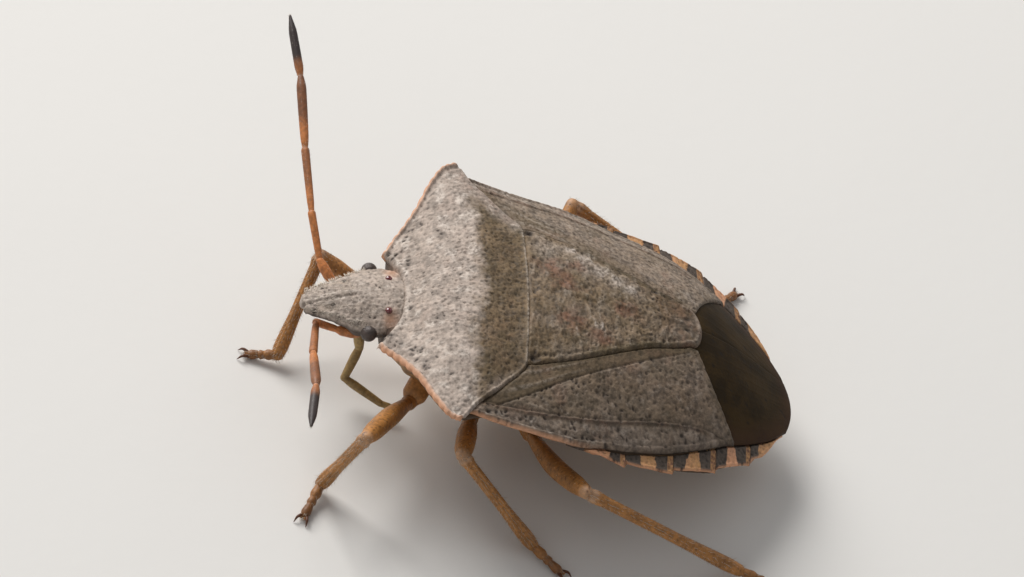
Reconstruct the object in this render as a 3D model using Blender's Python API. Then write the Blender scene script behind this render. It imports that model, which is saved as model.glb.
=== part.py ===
"""A shield bug, life size, as a still model that stands on its six feet.

Lengths in the tables below are millimetres in the body's own frame: x to the bug's left, y from head
to tail with 0 near the base of the scutellum, and z up from the floor. The last step moves the
finished pieces so that the origin is at the middle of the whole model's footprint.
"""

import math

import bmesh
import bpy
import numpy as np
from mathutils import Matrix, Vector

MM = 0.001
GAP = 0.15  # clear space between neighbouring pieces
SIDES = (("left", 1), ("right", -1))

# Driving sizes along the body
HEAD_TIP_Y = -4.74
NECK_Y = -2.66
ANTERIOR_ANGLE = (1.30, -3.18)
HUMERAL_ANGLE = (3.70, -1.62)
PRONOTUM_BACK_Y = -0.15
SCUTELLUM_HALF_BASE = 1.88
SCUTELLUM_TIP_Y = 3.62
CORIUM_CORNER = (2.02, 4.55)
TAIL_Y = 6.12
PLATE = 0.50  # thickness of the back plates and wings
EDGE_PLATE = 0.26  # the same plates at their thin outer edge
TUCK = 0.26  # how far the underside of that edge is drawn in, so that the edge is sharp
CROWN = 2.2  # power of the arch across the back: 2 is a parabola
THROAT_POWER = 1.6  # the same for the underside of the head
SCUTELLUM_RISE = 0.04  # how far the scutellum stands above the wings
MEMBRANE_DROP = 0.04  # how far the membranes lie below them

# Rows of (y, size): the body's side edge, the height of that edge, of the middle of the back and of the belly
EDGE_HALF_WIDTH = ((-3.18, 1.30), (-2.80, 1.80), (-2.45, 2.42), (-2.15, 3.14), (-1.85, 3.60), (-1.62, 3.70),
                   (-1.10, 3.43), (-0.50, 3.37), (0.70, 3.43), (2.10, 3.44), (3.10, 3.27), (4.13, 2.82),
                   (5.00, 2.15), (5.72, 1.40), (6.12, 0.70))
EDGE_HEIGHT = ((-3.18, 2.63), (-2.80, 2.86), (-2.45, 3.11), (-2.15, 3.29), (-1.90, 3.35), (-1.62, 3.35),
               (-1.10, 3.21), (0.00, 2.95), (1.20, 2.65), (2.10, 2.31), (3.10, 2.08), (4.13, 1.80),
               (5.72, 1.40), (6.12, 1.22))
RIDGE_HEIGHT = ((-3.18, 2.84), (-2.66, 2.96), (-2.00, 3.38), (-1.40, 3.54), (-0.60, 3.60), (0.50, 3.60),
                (1.80, 3.50), (3.00, 3.28), (3.62, 3.10), (4.30, 2.72), (5.00, 2.20), (5.70, 1.62),
                (6.12, 1.30))
BELLY_HEIGHT = ((-3.00, 1.75), (-2.20, 1.20), (-1.20, 0.92), (0.00, 0.85), (2.00, 0.80), (4.00, 0.70),
                (5.00, 0.62), (6.00, 0.66))

# Outlines of single plates, as rows of (distance along, across)
NECK_CURVE = ((0.00, -2.66), (0.50, -2.70), (0.90, -2.86), (1.30, -3.18))  # (x, y) of the pronotum's front
HIND_CURVE = ((0.00, -0.15), (1.90, -0.20), (2.60, -0.72), (3.20, -1.26), (3.58, -1.50), (3.70, -1.62))  # its back
SCUTELLUM_SIDE = ((-0.05, 1.88), (0.90, 1.56), (1.80, 1.15), (2.45, 0.85), (3.10, 0.62), (3.38, 0.48))
CORIUM_SIDE = ((-1.15, 3.39), (0.00, 3.38), (1.20, 3.41), (2.20, 3.13), (2.90, 2.93), (3.65, 2.58),
               (4.55, 2.02))
CORIUM_INNER_END = (0.66, 3.50)
CORIUM_END_BOW = -0.12  # how far the border between the two parts of a forewing bows backwards
MEMBRANE_SIDE = ((4.55, 2.02), (5.00, 1.72), (5.50, 1.30), (5.95, 0.75))
THORAX_Y = (-2.62, 1.05)  # where the solid of the chest starts and ends
ABDOMEN_END_Y = 5.86
THORAX_HALF_WIDTH = ((-2.95, 1.05), (-2.40, 1.60), (-1.60, 2.35), (-0.80, 2.75), (0.00, 2.95), (1.05, 3.05))
HEAD_SIDE = ((-4.58, 0.42), (-4.15, 0.58), (-3.79, 0.72), (-3.56, 0.84), (-3.10, 0.86), (-2.98, 0.82))
HEAD_EDGE_HEIGHT = ((-4.74, 2.34), (-4.15, 2.50), (-3.50, 2.58), (-2.80, 2.66))
HEAD_RIDGE_HEIGHT = ((-4.74, 2.38), (-4.20, 2.64), (-3.50, 2.86), (-2.80, 2.96))
HEAD_BELLY_HEIGHT = ((-4.74, 2.22), (-4.30, 2.22), (-4.00, 2.05), (-3.60, 1.85), (-3.20, 1.72), (-2.80, 1.72))
HEAD_EDGE = 0.20  # thickness of the head's side edge
HEAD_LEAST = 0.12  # thickness of the head where it is thinnest
CLYPEUS_HALF_WIDTH = 0.17
SUTURE_COLUMN = 3  # which of the head's columns, out from the middle, is the groove beside the clypeus
SUTURE_END_Y = -3.40
GROOVE = 0.06

# Wing veins and segment teeth
VEIN_RISE = 0.07
MEMBRANE_VEINS = 5
VEIN_COLUMNS = ((0.7, 0.95), (0.4, 0.70))  # (share of the way across, share of the length it reaches)
CLAVUS_COLUMN = (0.2, 0.98)  # the same for the groove beside the scutellum
SEGMENT_BORDERS = (1.10, 2.05, 3.12, 4.11, 4.98, 5.72)  # y where one segment of the abdomen ends
RIM_STEPS = (0.08, 0.4, 0.7, 1.0)  # places along each segment's outer edge
RIM_START_Y = 1.60
RIM_INSET = 0.06  # how far the rim's edge lies inside the body's side edge
RIM_LEAST = 0.10  # the rim's width where it is narrowest
RIM_DROP = 0.05  # how far the rim lies below the wing beside it
RIM_SLOPE = 0.30
RIM_THICKNESS = (0.46, 0.38, 0.26)  # at its inner edge, middle and outer edge
TOOTH = 0.10
ABDOMEN_HALF_WIDTH = 3.02
ABDOMEN_INSET = 0.06
BELLY_EDGE = 0.12  # how far the side of the belly lies below the body's top there

EYE_SEAT_X = 0.94  # x of the flat back of each eye, just clear of the head
EYE_Y, EYE_Z = -3.33, 2.55
EYE_RADIUS = 0.20
EYE_BULGE = 0.18
OCELLUS = (0.57, -3.02)  # x and y of the small eye on each side of the crown
OCELLUS_RISE = 0.06

# Girth of the limbs, as rows of (share of the length, radius)
COXA_GIRTH = ((0, 0.30), (1, 0.25))
TROCHANTER_GIRTH = ((0, 0.22), (1, 0.21))
FEMUR_GIRTH = ((0, 0.21), (0.45, 0.28), (0.85, 0.25), (1, 0.24))
TIBIA_GIRTH = ((0, 0.22), (0.15, 0.20), (1, 0.25))
BEAK_GIRTH = ((0, 0.20), (0.5, 0.22), (1, 0.19))
BEAK_TIP_GIRTH = ((0, 0.17), (1, 0.08))
CLAW_GIRTH = ((0, 0.10), (0.5, 0.08), (1, 0.03))
FEELER_GIRTH = ((0, 0.16), (0.3, 0.21), (0.75, 0.21), (1, 0.17))
FEELER_END_GIRTH = ((0, 0.16), (0.3, 0.21), (0.75, 0.21), (1, 0.07))
FOOT_SEGMENTS = ((0.05, 0.42, 0.21), (0.38, 0.62, 0.18), (0.60, 0.97, 0.20))  # (start, end, radius)
TROCHANTER_END = 0.16  # share of the way from the hip to the middle of the femur
FEMUR_START = 0.10

# A claw: (along the foot, aside, up) from the foot's end to its root, then to its bend, then to its tip
CLAW_ROOT = (0.02, 0.07, 0.0)
CLAW_BEND = (0.18, 0.10, 0.04)
CLAW_TIP = (0.13, 0.03, -0.13)

# Where the limbs bend, as (x, y, z) of each joint from the body outwards
LEGS = {
    "fore_left": ((0.80, -1.95, 1.05), (1.12, -2.12, 0.95), (2.25, -2.72, 1.55), (3.41, -3.31, 2.08),
                  (3.12, -3.86, 0.28), (3.92, -4.18, 0.12)),
    "fore_right": ((-0.80, -1.95, 1.05), (-1.10, -2.14, 0.95), (-1.45, -3.22, 1.42), (-1.80, -4.24, 1.92),
                   (-0.36, -4.82, 0.29), (-0.40, -5.42, 0.12)),
    "mid_left": ((0.85, -0.75, 0.90), (1.20, -0.80, 0.82), (2.35, -1.05, 1.44), (3.47, -1.29, 2.04),
                 (4.01, 0.58, 0.28), (4.52, 1.19, 0.12)),
    "mid_right": ((-0.85, -0.75, 0.90), (-1.20, -0.80, 0.82), (-2.35, -0.98, 1.44), (-3.47, -1.16, 2.04),
                  (-4.05, 0.70, 0.28), (-4.58, 1.32, 0.12)),
    "hind_left": ((0.85, 0.40, 0.80), (1.22, 0.46, 0.66), (2.65, 0.86, 1.22), (4.00, 1.30, 2.02),
                  (3.93, 5.00, 0.29), (4.12, 5.88, 0.12)),
    "hind_right": ((-0.85, 0.40, 0.80), (-1.22, 0.46, 0.66), (-2.78, 0.82, 1.24), (-4.30, 1.26, 2.11),
                   (-3.75, 4.95, 0.29), (-4.33, 5.46, 0.12)),
}
ANTENNAE = {
    "left": ((0.62, -3.50, 1.88), (0.42, -3.88, 1.84), (0.14, -4.32, 1.84), (1.43, -4.46, 2.33),
             (2.83, -4.49, 2.84), (4.14, -4.62, 3.00)),
    "right": ((-0.62, -3.78, 1.90), (-1.26, -4.33, 2.29), (-2.12, -4.61, 2.79), (-3.50, -4.85, 3.25),
              (-5.02, -5.09, 3.90), (-6.30, -5.44, 4.44)),
}
BEAK = ((0.00, -3.36, 1.62), (0.04, -3.26, 1.20), (0.38, -3.46, 0.60), (0.68, -2.62, 0.30), (0.76, -2.22, 0.26))

COLOURS = {
    "shell": (0.42, 0.37, 0.31, 1.0),
    "wing": (0.29, 0.25, 0.20, 1.0),
    "membrane": (0.09, 0.07, 0.045, 1.0),
    "underside": (0.42, 0.30, 0.16, 1.0),
    "leg": (0.50, 0.24, 0.08, 1.0),
    "feeler": (0.46, 0.19, 0.06, 1.0),
    "beak": (0.42, 0.36, 0.16, 1.0),
    "eye": (0.03, 0.02, 0.02, 1.0),
}
ROUGHNESS = {"membrane": 0.35, "eye": 0.25, "leg": 0.5, "feeler": 0.5}


def profile(rows):
    """A smooth curve through the rows that never swings past them."""
    at = np.array([row[0] for row in rows], float)
    size = np.array([row[1] for row in rows], float)
    step = np.diff(at)
    rise = np.diff(size) / step
    slope = np.zeros(len(at))
    slope[0], slope[-1] = rise[0], rise[-1]
    for i in range(1, len(at) - 1):
        if rise[i - 1] * rise[i] > 0:
            slope[i] = 2 * rise[i - 1] * rise[i] / (rise[i - 1] + rise[i])

    def value(x):
        x = np.clip(np.asarray(x, float), at[0], at[-1])
        i = np.clip(np.searchsorted(at, x, side="right") - 1, 0, len(at) - 2)
        t = (x - at[i]) / step[i]
        start = (1 + 2 * t) * (1 - t) ** 2 * size[i] + t * (1 - t) ** 2 * step[i] * slope[i]
        end = t * t * (3 - 2 * t) * size[i + 1] + t * t * (t - 1) * step[i] * slope[i + 1]
        return start + end

    return value


edge_half_width = profile(EDGE_HALF_WIDTH)
edge_height = profile(EDGE_HEIGHT)
ridge_height = profile(RIDGE_HEIGHT)
belly_height = profile(BELLY_HEIGHT)
neck_curve = profile(NECK_CURVE)
hind_curve = profile(HIND_CURVE)
scutellum_side = profile(SCUTELLUM_SIDE)
corium_side = profile(CORIUM_SIDE)
membrane_side = profile(MEMBRANE_SIDE)
thorax_half_width = profile(THORAX_HALF_WIDTH)
head_side = profile(HEAD_SIDE)
head_edge_height = profile(HEAD_EDGE_HEIGHT)
head_ridge_height = profile(HEAD_RIDGE_HEIGHT)
head_belly_height = profile(HEAD_BELLY_HEIGHT)


def arch(x, half, edge, middle, power):
    """Height across a section: middle at x = 0, edge at x = half."""
    share = np.clip(np.abs(x) / half, 0, 1)
    return edge + (middle - edge) * (1 - share**power)


def back(x, y):
    """Height of the whole bug's back behind the head."""
    return arch(x, edge_half_width(y), edge_height(y), ridge_height(y), CROWN)


def plate_under(x, y):
    """Underside of a back plate, which thins towards the body's side edge."""
    share = np.clip(np.abs(x) / edge_half_width(y), 0, 1)
    return back(x, y) - PLATE + (PLATE - EDGE_PLATE) * share**6


def tucked(grid):
    """The same grid for a plate's underside, drawn in where it nears the body's side edge."""
    x, y = grid[..., 0], grid[..., 1]
    share = np.clip(np.abs(x) / edge_half_width(y), 0, 1)
    return np.stack([x - np.sign(x) * TUCK * share**8, y], axis=-1)


def core_top(x, y):
    return back(x, y) - PLATE - GAP


def patch(front, rear, inner, outer, columns, rows):
    """Grid of (x, y) points that fills four boundary curves. Each curve maps 0..1 to (x, y)."""
    across = np.linspace(0, 1, columns + 1)
    along = np.linspace(0, 1, rows + 1)
    f, r = (np.array([curve(s) for s in across]) for curve in (front, rear))
    i, o = (np.array([curve(t) for t in along]) for curve in (inner, outer))
    s, t = across[None, :, None], along[:, None, None]
    ruled = (1 - t) * f[None] + t * r[None] + (1 - s) * i[:, None] + s * o[:, None]
    corners = (1 - t) * ((1 - s) * f[0] + s * f[-1]) + t * ((1 - s) * r[0] + s * r[-1])
    return ruled - corners


def mirrored(grid):
    """A half grid from the middle line outwards, made whole."""
    other = grid[:, :0:-1] * np.array([-1, 1])
    return np.concatenate([other, grid], axis=1)


def material(name):
    made = bpy.data.materials.get(name)
    if made is None:
        made = bpy.data.materials.new(name)
        made.use_nodes = True
        shader = made.node_tree.nodes["Principled BSDF"]
        shader.inputs["Base Color"].default_value = COLOURS[name]
        shader.inputs["Roughness"].default_value = ROUGHNESS.get(name, 0.7)
        shader.inputs["Metallic"].default_value = 0.0
        made.diffuse_color = COLOURS[name]
    return made


def node(name, points, faces, finish, crease=40):
    """A named object from points in millimetres."""
    mesh = bpy.data.meshes.new(name)
    mesh.from_pydata([tuple(MM * np.asarray(p)) for p in points], [], faces)
    shape = bmesh.new()
    shape.from_mesh(mesh)
    bmesh.ops.remove_doubles(shape, verts=shape.verts, dist=MM * 1e-4)
    bmesh.ops.recalc_face_normals(shape, faces=shape.faces)
    shape.to_mesh(mesh)
    shape.free()
    mesh.materials.append(material(finish))
    mesh.shade_smooth()
    mesh.set_sharp_from_angle(angle=math.radians(crease))
    made = bpy.data.objects.new(name, mesh)
    bpy.context.scene.collection.objects.link(made)
    return made


def slab(name, grid, top, bottom, finish, under=None):
    """A closed plate over a grid of (x, y), between two grids of heights.

    The underside may have an (x, y) grid of its own, which gives the plate a bevelled edge.
    """
    rows, columns = grid.shape[:2]
    faces_of = ((grid, top), (grid if under is None else under, bottom))
    points = [(*at[r, c], height[r, c]) for at, height in faces_of for r in range(rows) for c in range(columns)]
    lower = rows * columns

    def at(r, c, under=0):
        return r * columns + c + under * lower

    faces = []
    for r in range(rows - 1):
        for c in range(columns - 1):
            # both faces split along the same diagonal, so that a thin curved plate never crosses itself
            a, b, d, e = at(r, c), at(r, c + 1), at(r + 1, c + 1), at(r + 1, c)
            faces += [(a, b, d), (a, d, e)]
            faces += [(a + lower, d + lower, b + lower), (a + lower, e + lower, d + lower)]
    rim = [(0, c) for c in range(columns)] + [(r, columns - 1) for r in range(1, rows)]
    rim += [(rows - 1, c) for c in range(columns - 2, -1, -1)] + [(r, 0) for r in range(rows - 2, 0, -1)]
    for (r0, c0), (r1, c1) in zip(rim, rim[1:] + rim[:1]):
        faces.append((at(r0, c0), at(r1, c1), at(r1, c1, 1), at(r0, c0, 1)))
    return node(name, points, faces, finish)


def smooth_path(joints, steps):
    """Points on a smooth line through the joints, with each stretch cut into steps."""
    p = [Vector(j) for j in joints]
    p = [2 * p[0] - p[1], *p, 2 * p[-1] - p[-2]]
    line = []
    for i in range(1, len(p) - 2):
        a, b, c, d = p[i - 1 : i + 3]
        for k in range(steps):
            t = k / steps
            bend = (2 * a - 5 * b + 4 * c - d) * t**2 + (3 * b - a - 3 * c + d) * t**3
            line.append(0.5 * (2 * b + (c - a) * t + bend))
    return [*line, p[-2]]


def limb_rings(joints, girth, rings):
    """Ring centres and radii along a limb piece. girth holds rows of (share of the length, radius)."""
    line = np.array(smooth_path(joints, 12), float)
    walked = np.concatenate([[0], np.cumsum(np.linalg.norm(np.diff(line, axis=0), axis=1))])
    share = np.linspace(0, 1, rings)
    centres = np.stack([np.interp(share * walked[-1], walked, line[:, k]) for k in range(3)], axis=1)
    return centres, profile(girth)(share)


def tube(centres, radii, sides, floor):
    """Points and faces of a closed round limb piece with domed ends."""
    blunt, cap = 0.45, 0.6  # how far each domed end stands out and how wide it is, as shares of the radius
    ways = np.gradient(centres, axis=0)
    ways /= np.linalg.norm(ways, axis=1)[:, None]
    across = Vector((0, 0, 1)).cross(Vector(ways[0]))
    across = across.normalized() if across.length > 1e-3 else Vector((1, 0, 0))
    rows = [(centres[0] - ways[0] * radii[0] * blunt, radii[0] * cap, ways[0])]
    rows += list(zip(centres, radii, ways))
    rows.append((centres[-1] + ways[-1] * radii[-1] * blunt, radii[-1] * cap, ways[-1]))
    points = []
    for centre, radius, way in rows:
        way = Vector(way)
        across = (across - way * across.dot(way)).normalized()
        up = way.cross(across)
        for k in range(sides):
            turn = 2 * math.pi * (k + 0.5) / sides
            points.append(Vector(centre) + float(radius) * (math.cos(turn) * across + math.sin(turn) * up))
    if floor is not None:
        for point in points:
            point.z = max(point.z, floor)
    count = len(rows)
    faces = [tuple(range(sides - 1, -1, -1)), tuple((count - 1) * sides + k for k in range(sides))]
    for r in range(count - 1):
        for k in range(sides):
            a, b = r * sides + k, r * sides + (k + 1) % sides
            faces.append((a, b, b + sides, a + sides))
    return points, faces


def limb(name, joints, girth, finish, rings=7, sides=8, floor=None, ceiling=None):
    """A limb piece. It is pressed flat where it meets the floor, or the surface given by ceiling(x, y)."""
    centres, radii = limb_rings(joints, girth, rings)
    points, faces = tube(centres, radii, sides, floor)
    if ceiling is not None:
        for point in points:
            point.z = min(point.z, float(ceiling(point.x, point.y)))
    return node(name, points, faces, finish, crease=60)


def fused(name, pieces):
    """Joins closed pieces into the first one and keeps the outcome as one named object."""
    first, rest = pieces[0], pieces[1:]
    group = bpy.data.collections.new(name + "_pieces")
    bpy.context.scene.collection.children.link(group)
    for piece in rest:
        bpy.context.scene.collection.objects.unlink(piece)
        group.objects.link(piece)
    union = first.modifiers.new("join", "BOOLEAN")
    union.operation = "UNION"
    union.operand_type = "COLLECTION"
    union.collection = group
    union.solver = "EXACT"
    graph = bpy.context.evaluated_depsgraph_get()
    mesh = bpy.data.meshes.new_from_object(first.evaluated_get(graph))
    first.modifiers.clear()
    first.data = mesh
    for piece in rest:
        bpy.data.objects.remove(piece)
    bpy.data.collections.remove(group)
    first.name = name
    return first


def head_under(x, y):
    """Underside of the head, from its rounded throat up to the thin side edges."""
    edge = head_edge_height(y) - HEAD_EDGE
    return arch(x, head_side(y), edge, head_belly_height(y), THROAT_POWER)


def head():
    """The long wedge of the head: the clypeus between two juga, and two small eyes on the crown."""
    columns, rows = 8, 18
    back_y = NECK_Y - GAP
    jugum_y, jugum_x = HEAD_SIDE[0]
    corner_y, corner_x = HEAD_SIDE[-1]
    clypeus_bow, jugum_bow = 0.05, 0.02

    def front(s):
        x = s * jugum_x
        if x <= CLYPEUS_HALF_WIDTH:
            return x, HEAD_TIP_Y + clypeus_bow * (x / CLYPEUS_HALF_WIDTH) ** 2
        return x, jugum_y - jugum_bow * math.sin(math.pi * s)

    def rear(s):
        return s * corner_x, min(back_y, neck_curve(s * corner_x) - GAP * 1.1)

    def side(t):
        y = jugum_y + t * (corner_y - jugum_y)
        return float(head_side(y)), y

    def middle(t):
        return 0.0, HEAD_TIP_Y + t * (back_y - HEAD_TIP_Y)

    grid = mirrored(patch(front, rear, middle, side, columns, rows))
    x, y = grid[..., 0], grid[..., 1]
    top = arch(x, head_side(y), head_edge_height(y), head_ridge_height(y), 2.0)
    column = np.abs(np.arange(-columns, columns + 1))[None, :]
    suture = (column == SUTURE_COLUMN) & (y < SUTURE_END_Y)
    top = top - GROOVE * suture
    under = np.minimum(head_under(x, y), top - HEAD_LEAST)
    for sign in (1, -1):
        from_ocellus = np.hypot(x - sign * OCELLUS[0], y - OCELLUS[1])
        top[from_ocellus == from_ocellus.min()] += OCELLUS_RISE
    slab("head", grid, top, under, "shell")


def pronotum():
    """The wide shield behind the head, with a sharp shoulder on each side."""
    columns, rows = 12, 12

    def front(s):
        x = s * ANTERIOR_ANGLE[0]
        return x, float(neck_curve(x))

    def rear(s):
        x = s * HUMERAL_ANGLE[0]
        return x, float(hind_curve(x))

    def side(t):
        y = ANTERIOR_ANGLE[1] + t * (HUMERAL_ANGLE[1] - ANTERIOR_ANGLE[1])
        return float(edge_half_width(y)), y

    def middle(t):
        return 0.0, NECK_Y + t * (PRONOTUM_BACK_Y - NECK_Y)

    grid = mirrored(patch(front, rear, middle, side, columns, rows))
    x, y = grid[..., 0], grid[..., 1]
    under = tucked(grid)
    slab("pronotum", grid, back(x, y), plate_under(under[..., 0], y), "shell", under)


def scutellum():
    """The long triangle in the middle of the back, with a round tip."""
    columns, rows = 6, 13
    base_y = PRONOTUM_BACK_Y + GAP
    end_y, end_x = SCUTELLUM_SIDE[-1]

    def front(s):
        x = s * SCUTELLUM_HALF_BASE
        return x, float(hind_curve(x)) + GAP

    def rear(s):
        turn = math.radians(90) * s
        return end_x * math.sin(turn), end_y + (SCUTELLUM_TIP_Y - end_y) * math.cos(turn)

    def side(t):
        start = front(1)[1]
        y = start + t * (end_y - start)
        return float(scutellum_side(y)), y

    def middle(t):
        return 0.0, base_y + t * (SCUTELLUM_TIP_Y - base_y)

    grid = mirrored(patch(front, rear, middle, side, columns, rows))
    x, y = grid[..., 0], grid[..., 1]
    slab("scutellum", grid, back(x, y) + SCUTELLUM_RISE, plate_under(x, y), "shell")


def corium(side_name, sign):
    """The leathery part of a forewing, from the shoulder to the membrane, with its long veins raised."""
    columns, rows = 10, 16
    clear = GAP * 1.3
    start_x = SCUTELLUM_HALF_BASE + GAP
    outer_start_y, outer_start_x = CORIUM_SIDE[0]
    end_x, end_y = CORIUM_INNER_END
    corner_x, corner_y = CORIUM_CORNER

    def front(s):
        x = start_x + s * (outer_start_x - start_x)
        drawn_back = outer_start_y - hind_curve(outer_start_x) - clear
        return x, float(hind_curve(x)) + clear + s * drawn_back

    def rear(s):
        bow = CORIUM_END_BOW * math.sin(math.pi * s)
        return end_x + s * (corner_x - end_x), end_y + s * (corner_y - end_y) + bow

    def inner(t):
        y = front(0)[1] + t * (end_y - front(0)[1])
        return float(scutellum_side(y)) + GAP, y

    def outer(t):
        y = outer_start_y + t * (corner_y - outer_start_y)
        return float(corium_side(y)), y

    grid = patch(front, rear, inner, outer, columns, rows)
    x, y = grid[..., 0], grid[..., 1]
    top = back(x, y)
    share = np.linspace(0, 1, columns + 1)[None, :]
    along = np.linspace(0, 1, rows + 1)[:, None]
    for place, reach in VEIN_COLUMNS:
        top = top + VEIN_RISE * (np.isclose(share, place) & (along < reach))
    place, reach = CLAVUS_COLUMN
    top = top - GROOVE * (np.isclose(share, place) & (along < reach))
    side = np.array([sign, 1])
    under = tucked(grid)
    slab("corium_" + side_name, grid * side, top, plate_under(under[..., 0], y), "wing", under * side)


def wing_half_width(y):
    """The outer edge of a folded forewing: its leathery part, then its membrane."""
    corner_y = CORIUM_CORNER[1]
    return np.where(y < corner_y, corium_side(np.minimum(y, corner_y)), membrane_side(y))


def overlap_line(y):
    """Where the edge of the left membrane lies over the right one: x at a given y."""
    return -0.10 - 0.55 * (y - SCUTELLUM_TIP_Y) / (TAIL_Y - SCUTELLUM_TIP_Y)


def membrane(side_name, sign):
    """The thin end of a forewing over the tail, with its veins as ridges that fan out backwards."""
    columns, rows = 2 * (MEMBRANE_VEINS + 1), 9
    start_y = SCUTELLUM_TIP_Y + GAP
    clear = GAP * 1.07
    shoulder = (CORIUM_INNER_END[0] + 0.04, CORIUM_INNER_END[1] + clear)
    outer_start = (CORIUM_CORNER[0] - 0.02, CORIUM_CORNER[1] + clear)
    outer_end = (MEMBRANE_SIDE[-1][1], MEMBRANE_SIDE[-1][0])
    cut = 0.25  # share of the front edge that lies behind the scutellum

    def line(y):
        return sign * overlap_line(y) + GAP / 2

    def front(s):
        if s < cut:
            share = s / cut
            x = line(start_y) + share * (shoulder[0] - line(start_y))
            return x, start_y - (start_y - shoulder[1]) * share**2
        share = (s - cut) / (1 - cut)
        bow = CORIUM_END_BOW * math.sin(math.pi * share)
        return (shoulder[0] + share * (outer_start[0] - shoulder[0]),
                shoulder[1] + share * (outer_start[1] - shoulder[1]) + bow)

    def rear(s):
        x = line(TAIL_Y) + s * (outer_end[0] - line(TAIL_Y))
        return x, outer_end[1] + (TAIL_Y - outer_end[1]) * (1 - (max(x, 0) / outer_end[0]) ** 2)

    def middle(t):
        end = rear(0)[1]
        y = start_y + t * (end - start_y)
        return line(y), y

    def outer(t):
        y = outer_start[1] + t * (outer_end[1] - outer_start[1])
        return float(membrane_side(y)), y

    grid = patch(front, rear, middle, outer, columns, rows)
    x, y = grid[..., 0], grid[..., 1]
    column = np.arange(columns + 1)[None, :]
    ridge = (column % 2 == 0) & (column > 0) & (column < columns)
    top = back(x, y) - MEMBRANE_DROP + VEIN_RISE * ridge
    bottom = back(x, y) - PLATE + MEMBRANE_DROP
    slab("membrane_" + side_name, grid * np.array([sign, 1]), top, bottom, "membrane")


def connexivum(side_name, sign):
    """The flat rim of the abdomen beside the wings, with a small tooth at the end of each segment."""
    places = [(front + share * (rear - front), TOOTH * share**2)
              for front, rear in zip(SEGMENT_BORDERS, SEGMENT_BORDERS[1:]) for share in RIM_STEPS]
    y, tooth = np.array([place for place in places if place[0] > RIM_START_Y]).T
    wing_side = wing_half_width(y)
    inner = wing_side + GAP
    outer = np.maximum(edge_half_width(y) - RIM_INSET + tooth, inner + RIM_LEAST)
    share = np.array([0.0, 0.5, 1.0])
    side = np.array([sign, 1])
    width = (outer - inner)[:, None]
    grid = np.stack([inner[:, None] + share * width, np.repeat(y[:, None], len(share), axis=1)], axis=-1)
    under = np.stack([inner[:, None] + share * width * 0.6, grid[..., 1]], axis=-1)
    level = back(wing_side, y) - RIM_DROP
    top = level[:, None] - RIM_SLOPE * (grid[..., 0] - wing_side[:, None])
    slab("connexivum_" + side_name, grid * side, top, top - np.array(RIM_THICKNESS), "wing", under * side)


def core_under(x, y, half_width):
    """Underside of the body: a rounded belly that rises to the rim under the back plates."""
    rim = core_top(half_width(y), y) - BELLY_EDGE
    return arch(x, half_width(y), rim, belly_height(y), 2.0)


def core(name, start, end, half_width, columns, rows):
    """A length of the body under the back plates, down to the rounded belly."""

    def curve_across(y):
        return lambda s: (s * float(half_width(y)), y)

    def middle(t):
        return 0.0, start + t * (end - start)

    def side(t):
        y = start + t * (end - start)
        return float(half_width(y)), y

    grid = mirrored(patch(curve_across(start), curve_across(end), middle, side, columns, rows))
    x, y = grid[..., 0], grid[..., 1]
    top = core_top(x, y)
    slab(name, grid, top, np.minimum(core_under(x, y, half_width), top - 0.10), "underside")


def abdomen_half_width(y):
    return np.minimum(wing_half_width(np.asarray(y, float)) - ABDOMEN_INSET, ABDOMEN_HALF_WIDTH)


def eye(side_name, sign):
    """A round compound eye that bulges from its seat on the side of the head."""
    rings, sides = 4, 12
    points = []
    for r in range(rings):
        turn = math.radians(90) * r / rings
        reach = EYE_SEAT_X + EYE_BULGE * math.sin(turn)
        for k in range(sides):
            angle = 2 * math.pi * k / sides
            radius = EYE_RADIUS * math.cos(turn)
            points.append((sign * reach, EYE_Y + radius * math.cos(angle), EYE_Z + radius * math.sin(angle)))
    points.append((sign * (EYE_SEAT_X + EYE_BULGE), EYE_Y, EYE_Z))
    faces = [tuple(range(sides))]
    for r in range(rings - 1):
        for k in range(sides):
            a, b = r * sides + k, r * sides + (k + 1) % sides
            faces.append((a, b, b + sides, a + sides))
    top = (rings - 1) * sides
    faces += [(top + k, top + (k + 1) % sides, rings * sides) for k in range(sides)]
    node("eye_" + side_name, points, faces, "eye")


def claws(foot, heel):
    """Two short hooked claws past the end of a foot, as closed pieces."""
    way = Vector((foot.x - heel.x, foot.y - heel.y, 0)).normalized()
    aside = Vector((-way.y, way.x, 0))
    made = []
    for spread in (-1, 1):
        joints = [foot]
        for along, out, rise in (CLAW_ROOT, CLAW_BEND, CLAW_TIP):
            joints.append(joints[-1] + way * along + aside * spread * out + Vector((0, 0, rise)))
        made.append(limb("claw", joints[1:], CLAW_GIRTH, "leg", rings=3, sides=5, floor=0.0))
    return made


def leg(name, joints):
    """One leg: coxa, trochanter, femur, tibia and a foot of three segments with two claws."""
    root, hip, bow, knee, ankle, toe = (Vector(joint) for joint in joints)

    def against_thorax(x, y):
        return core_under(x, y, thorax_half_width) - GAP

    pieces = [limb("coxa", (root, hip), COXA_GIRTH, "leg", rings=3, ceiling=against_thorax)]
    pieces.append(limb("trochanter", (hip, hip.lerp(bow, TROCHANTER_END)), TROCHANTER_GIRTH, "leg", rings=3))
    pieces.append(limb("femur", (hip.lerp(bow, FEMUR_START), bow, knee), FEMUR_GIRTH, "leg", rings=6))
    pieces.append(limb("tibia", (knee, ankle), TIBIA_GIRTH, "leg", rings=4))
    for start, end, radius in FOOT_SEGMENTS:
        stretch = (ankle.lerp(toe, start), ankle.lerp(toe, end))
        girth = ((0, radius * 0.85), (0.75, radius), (1, radius * 0.9))
        pieces.append(limb("foot", stretch, girth, "leg", rings=3, floor=0.0))
    fused("leg_" + name, [*pieces, *claws(toe, ankle)])


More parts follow.
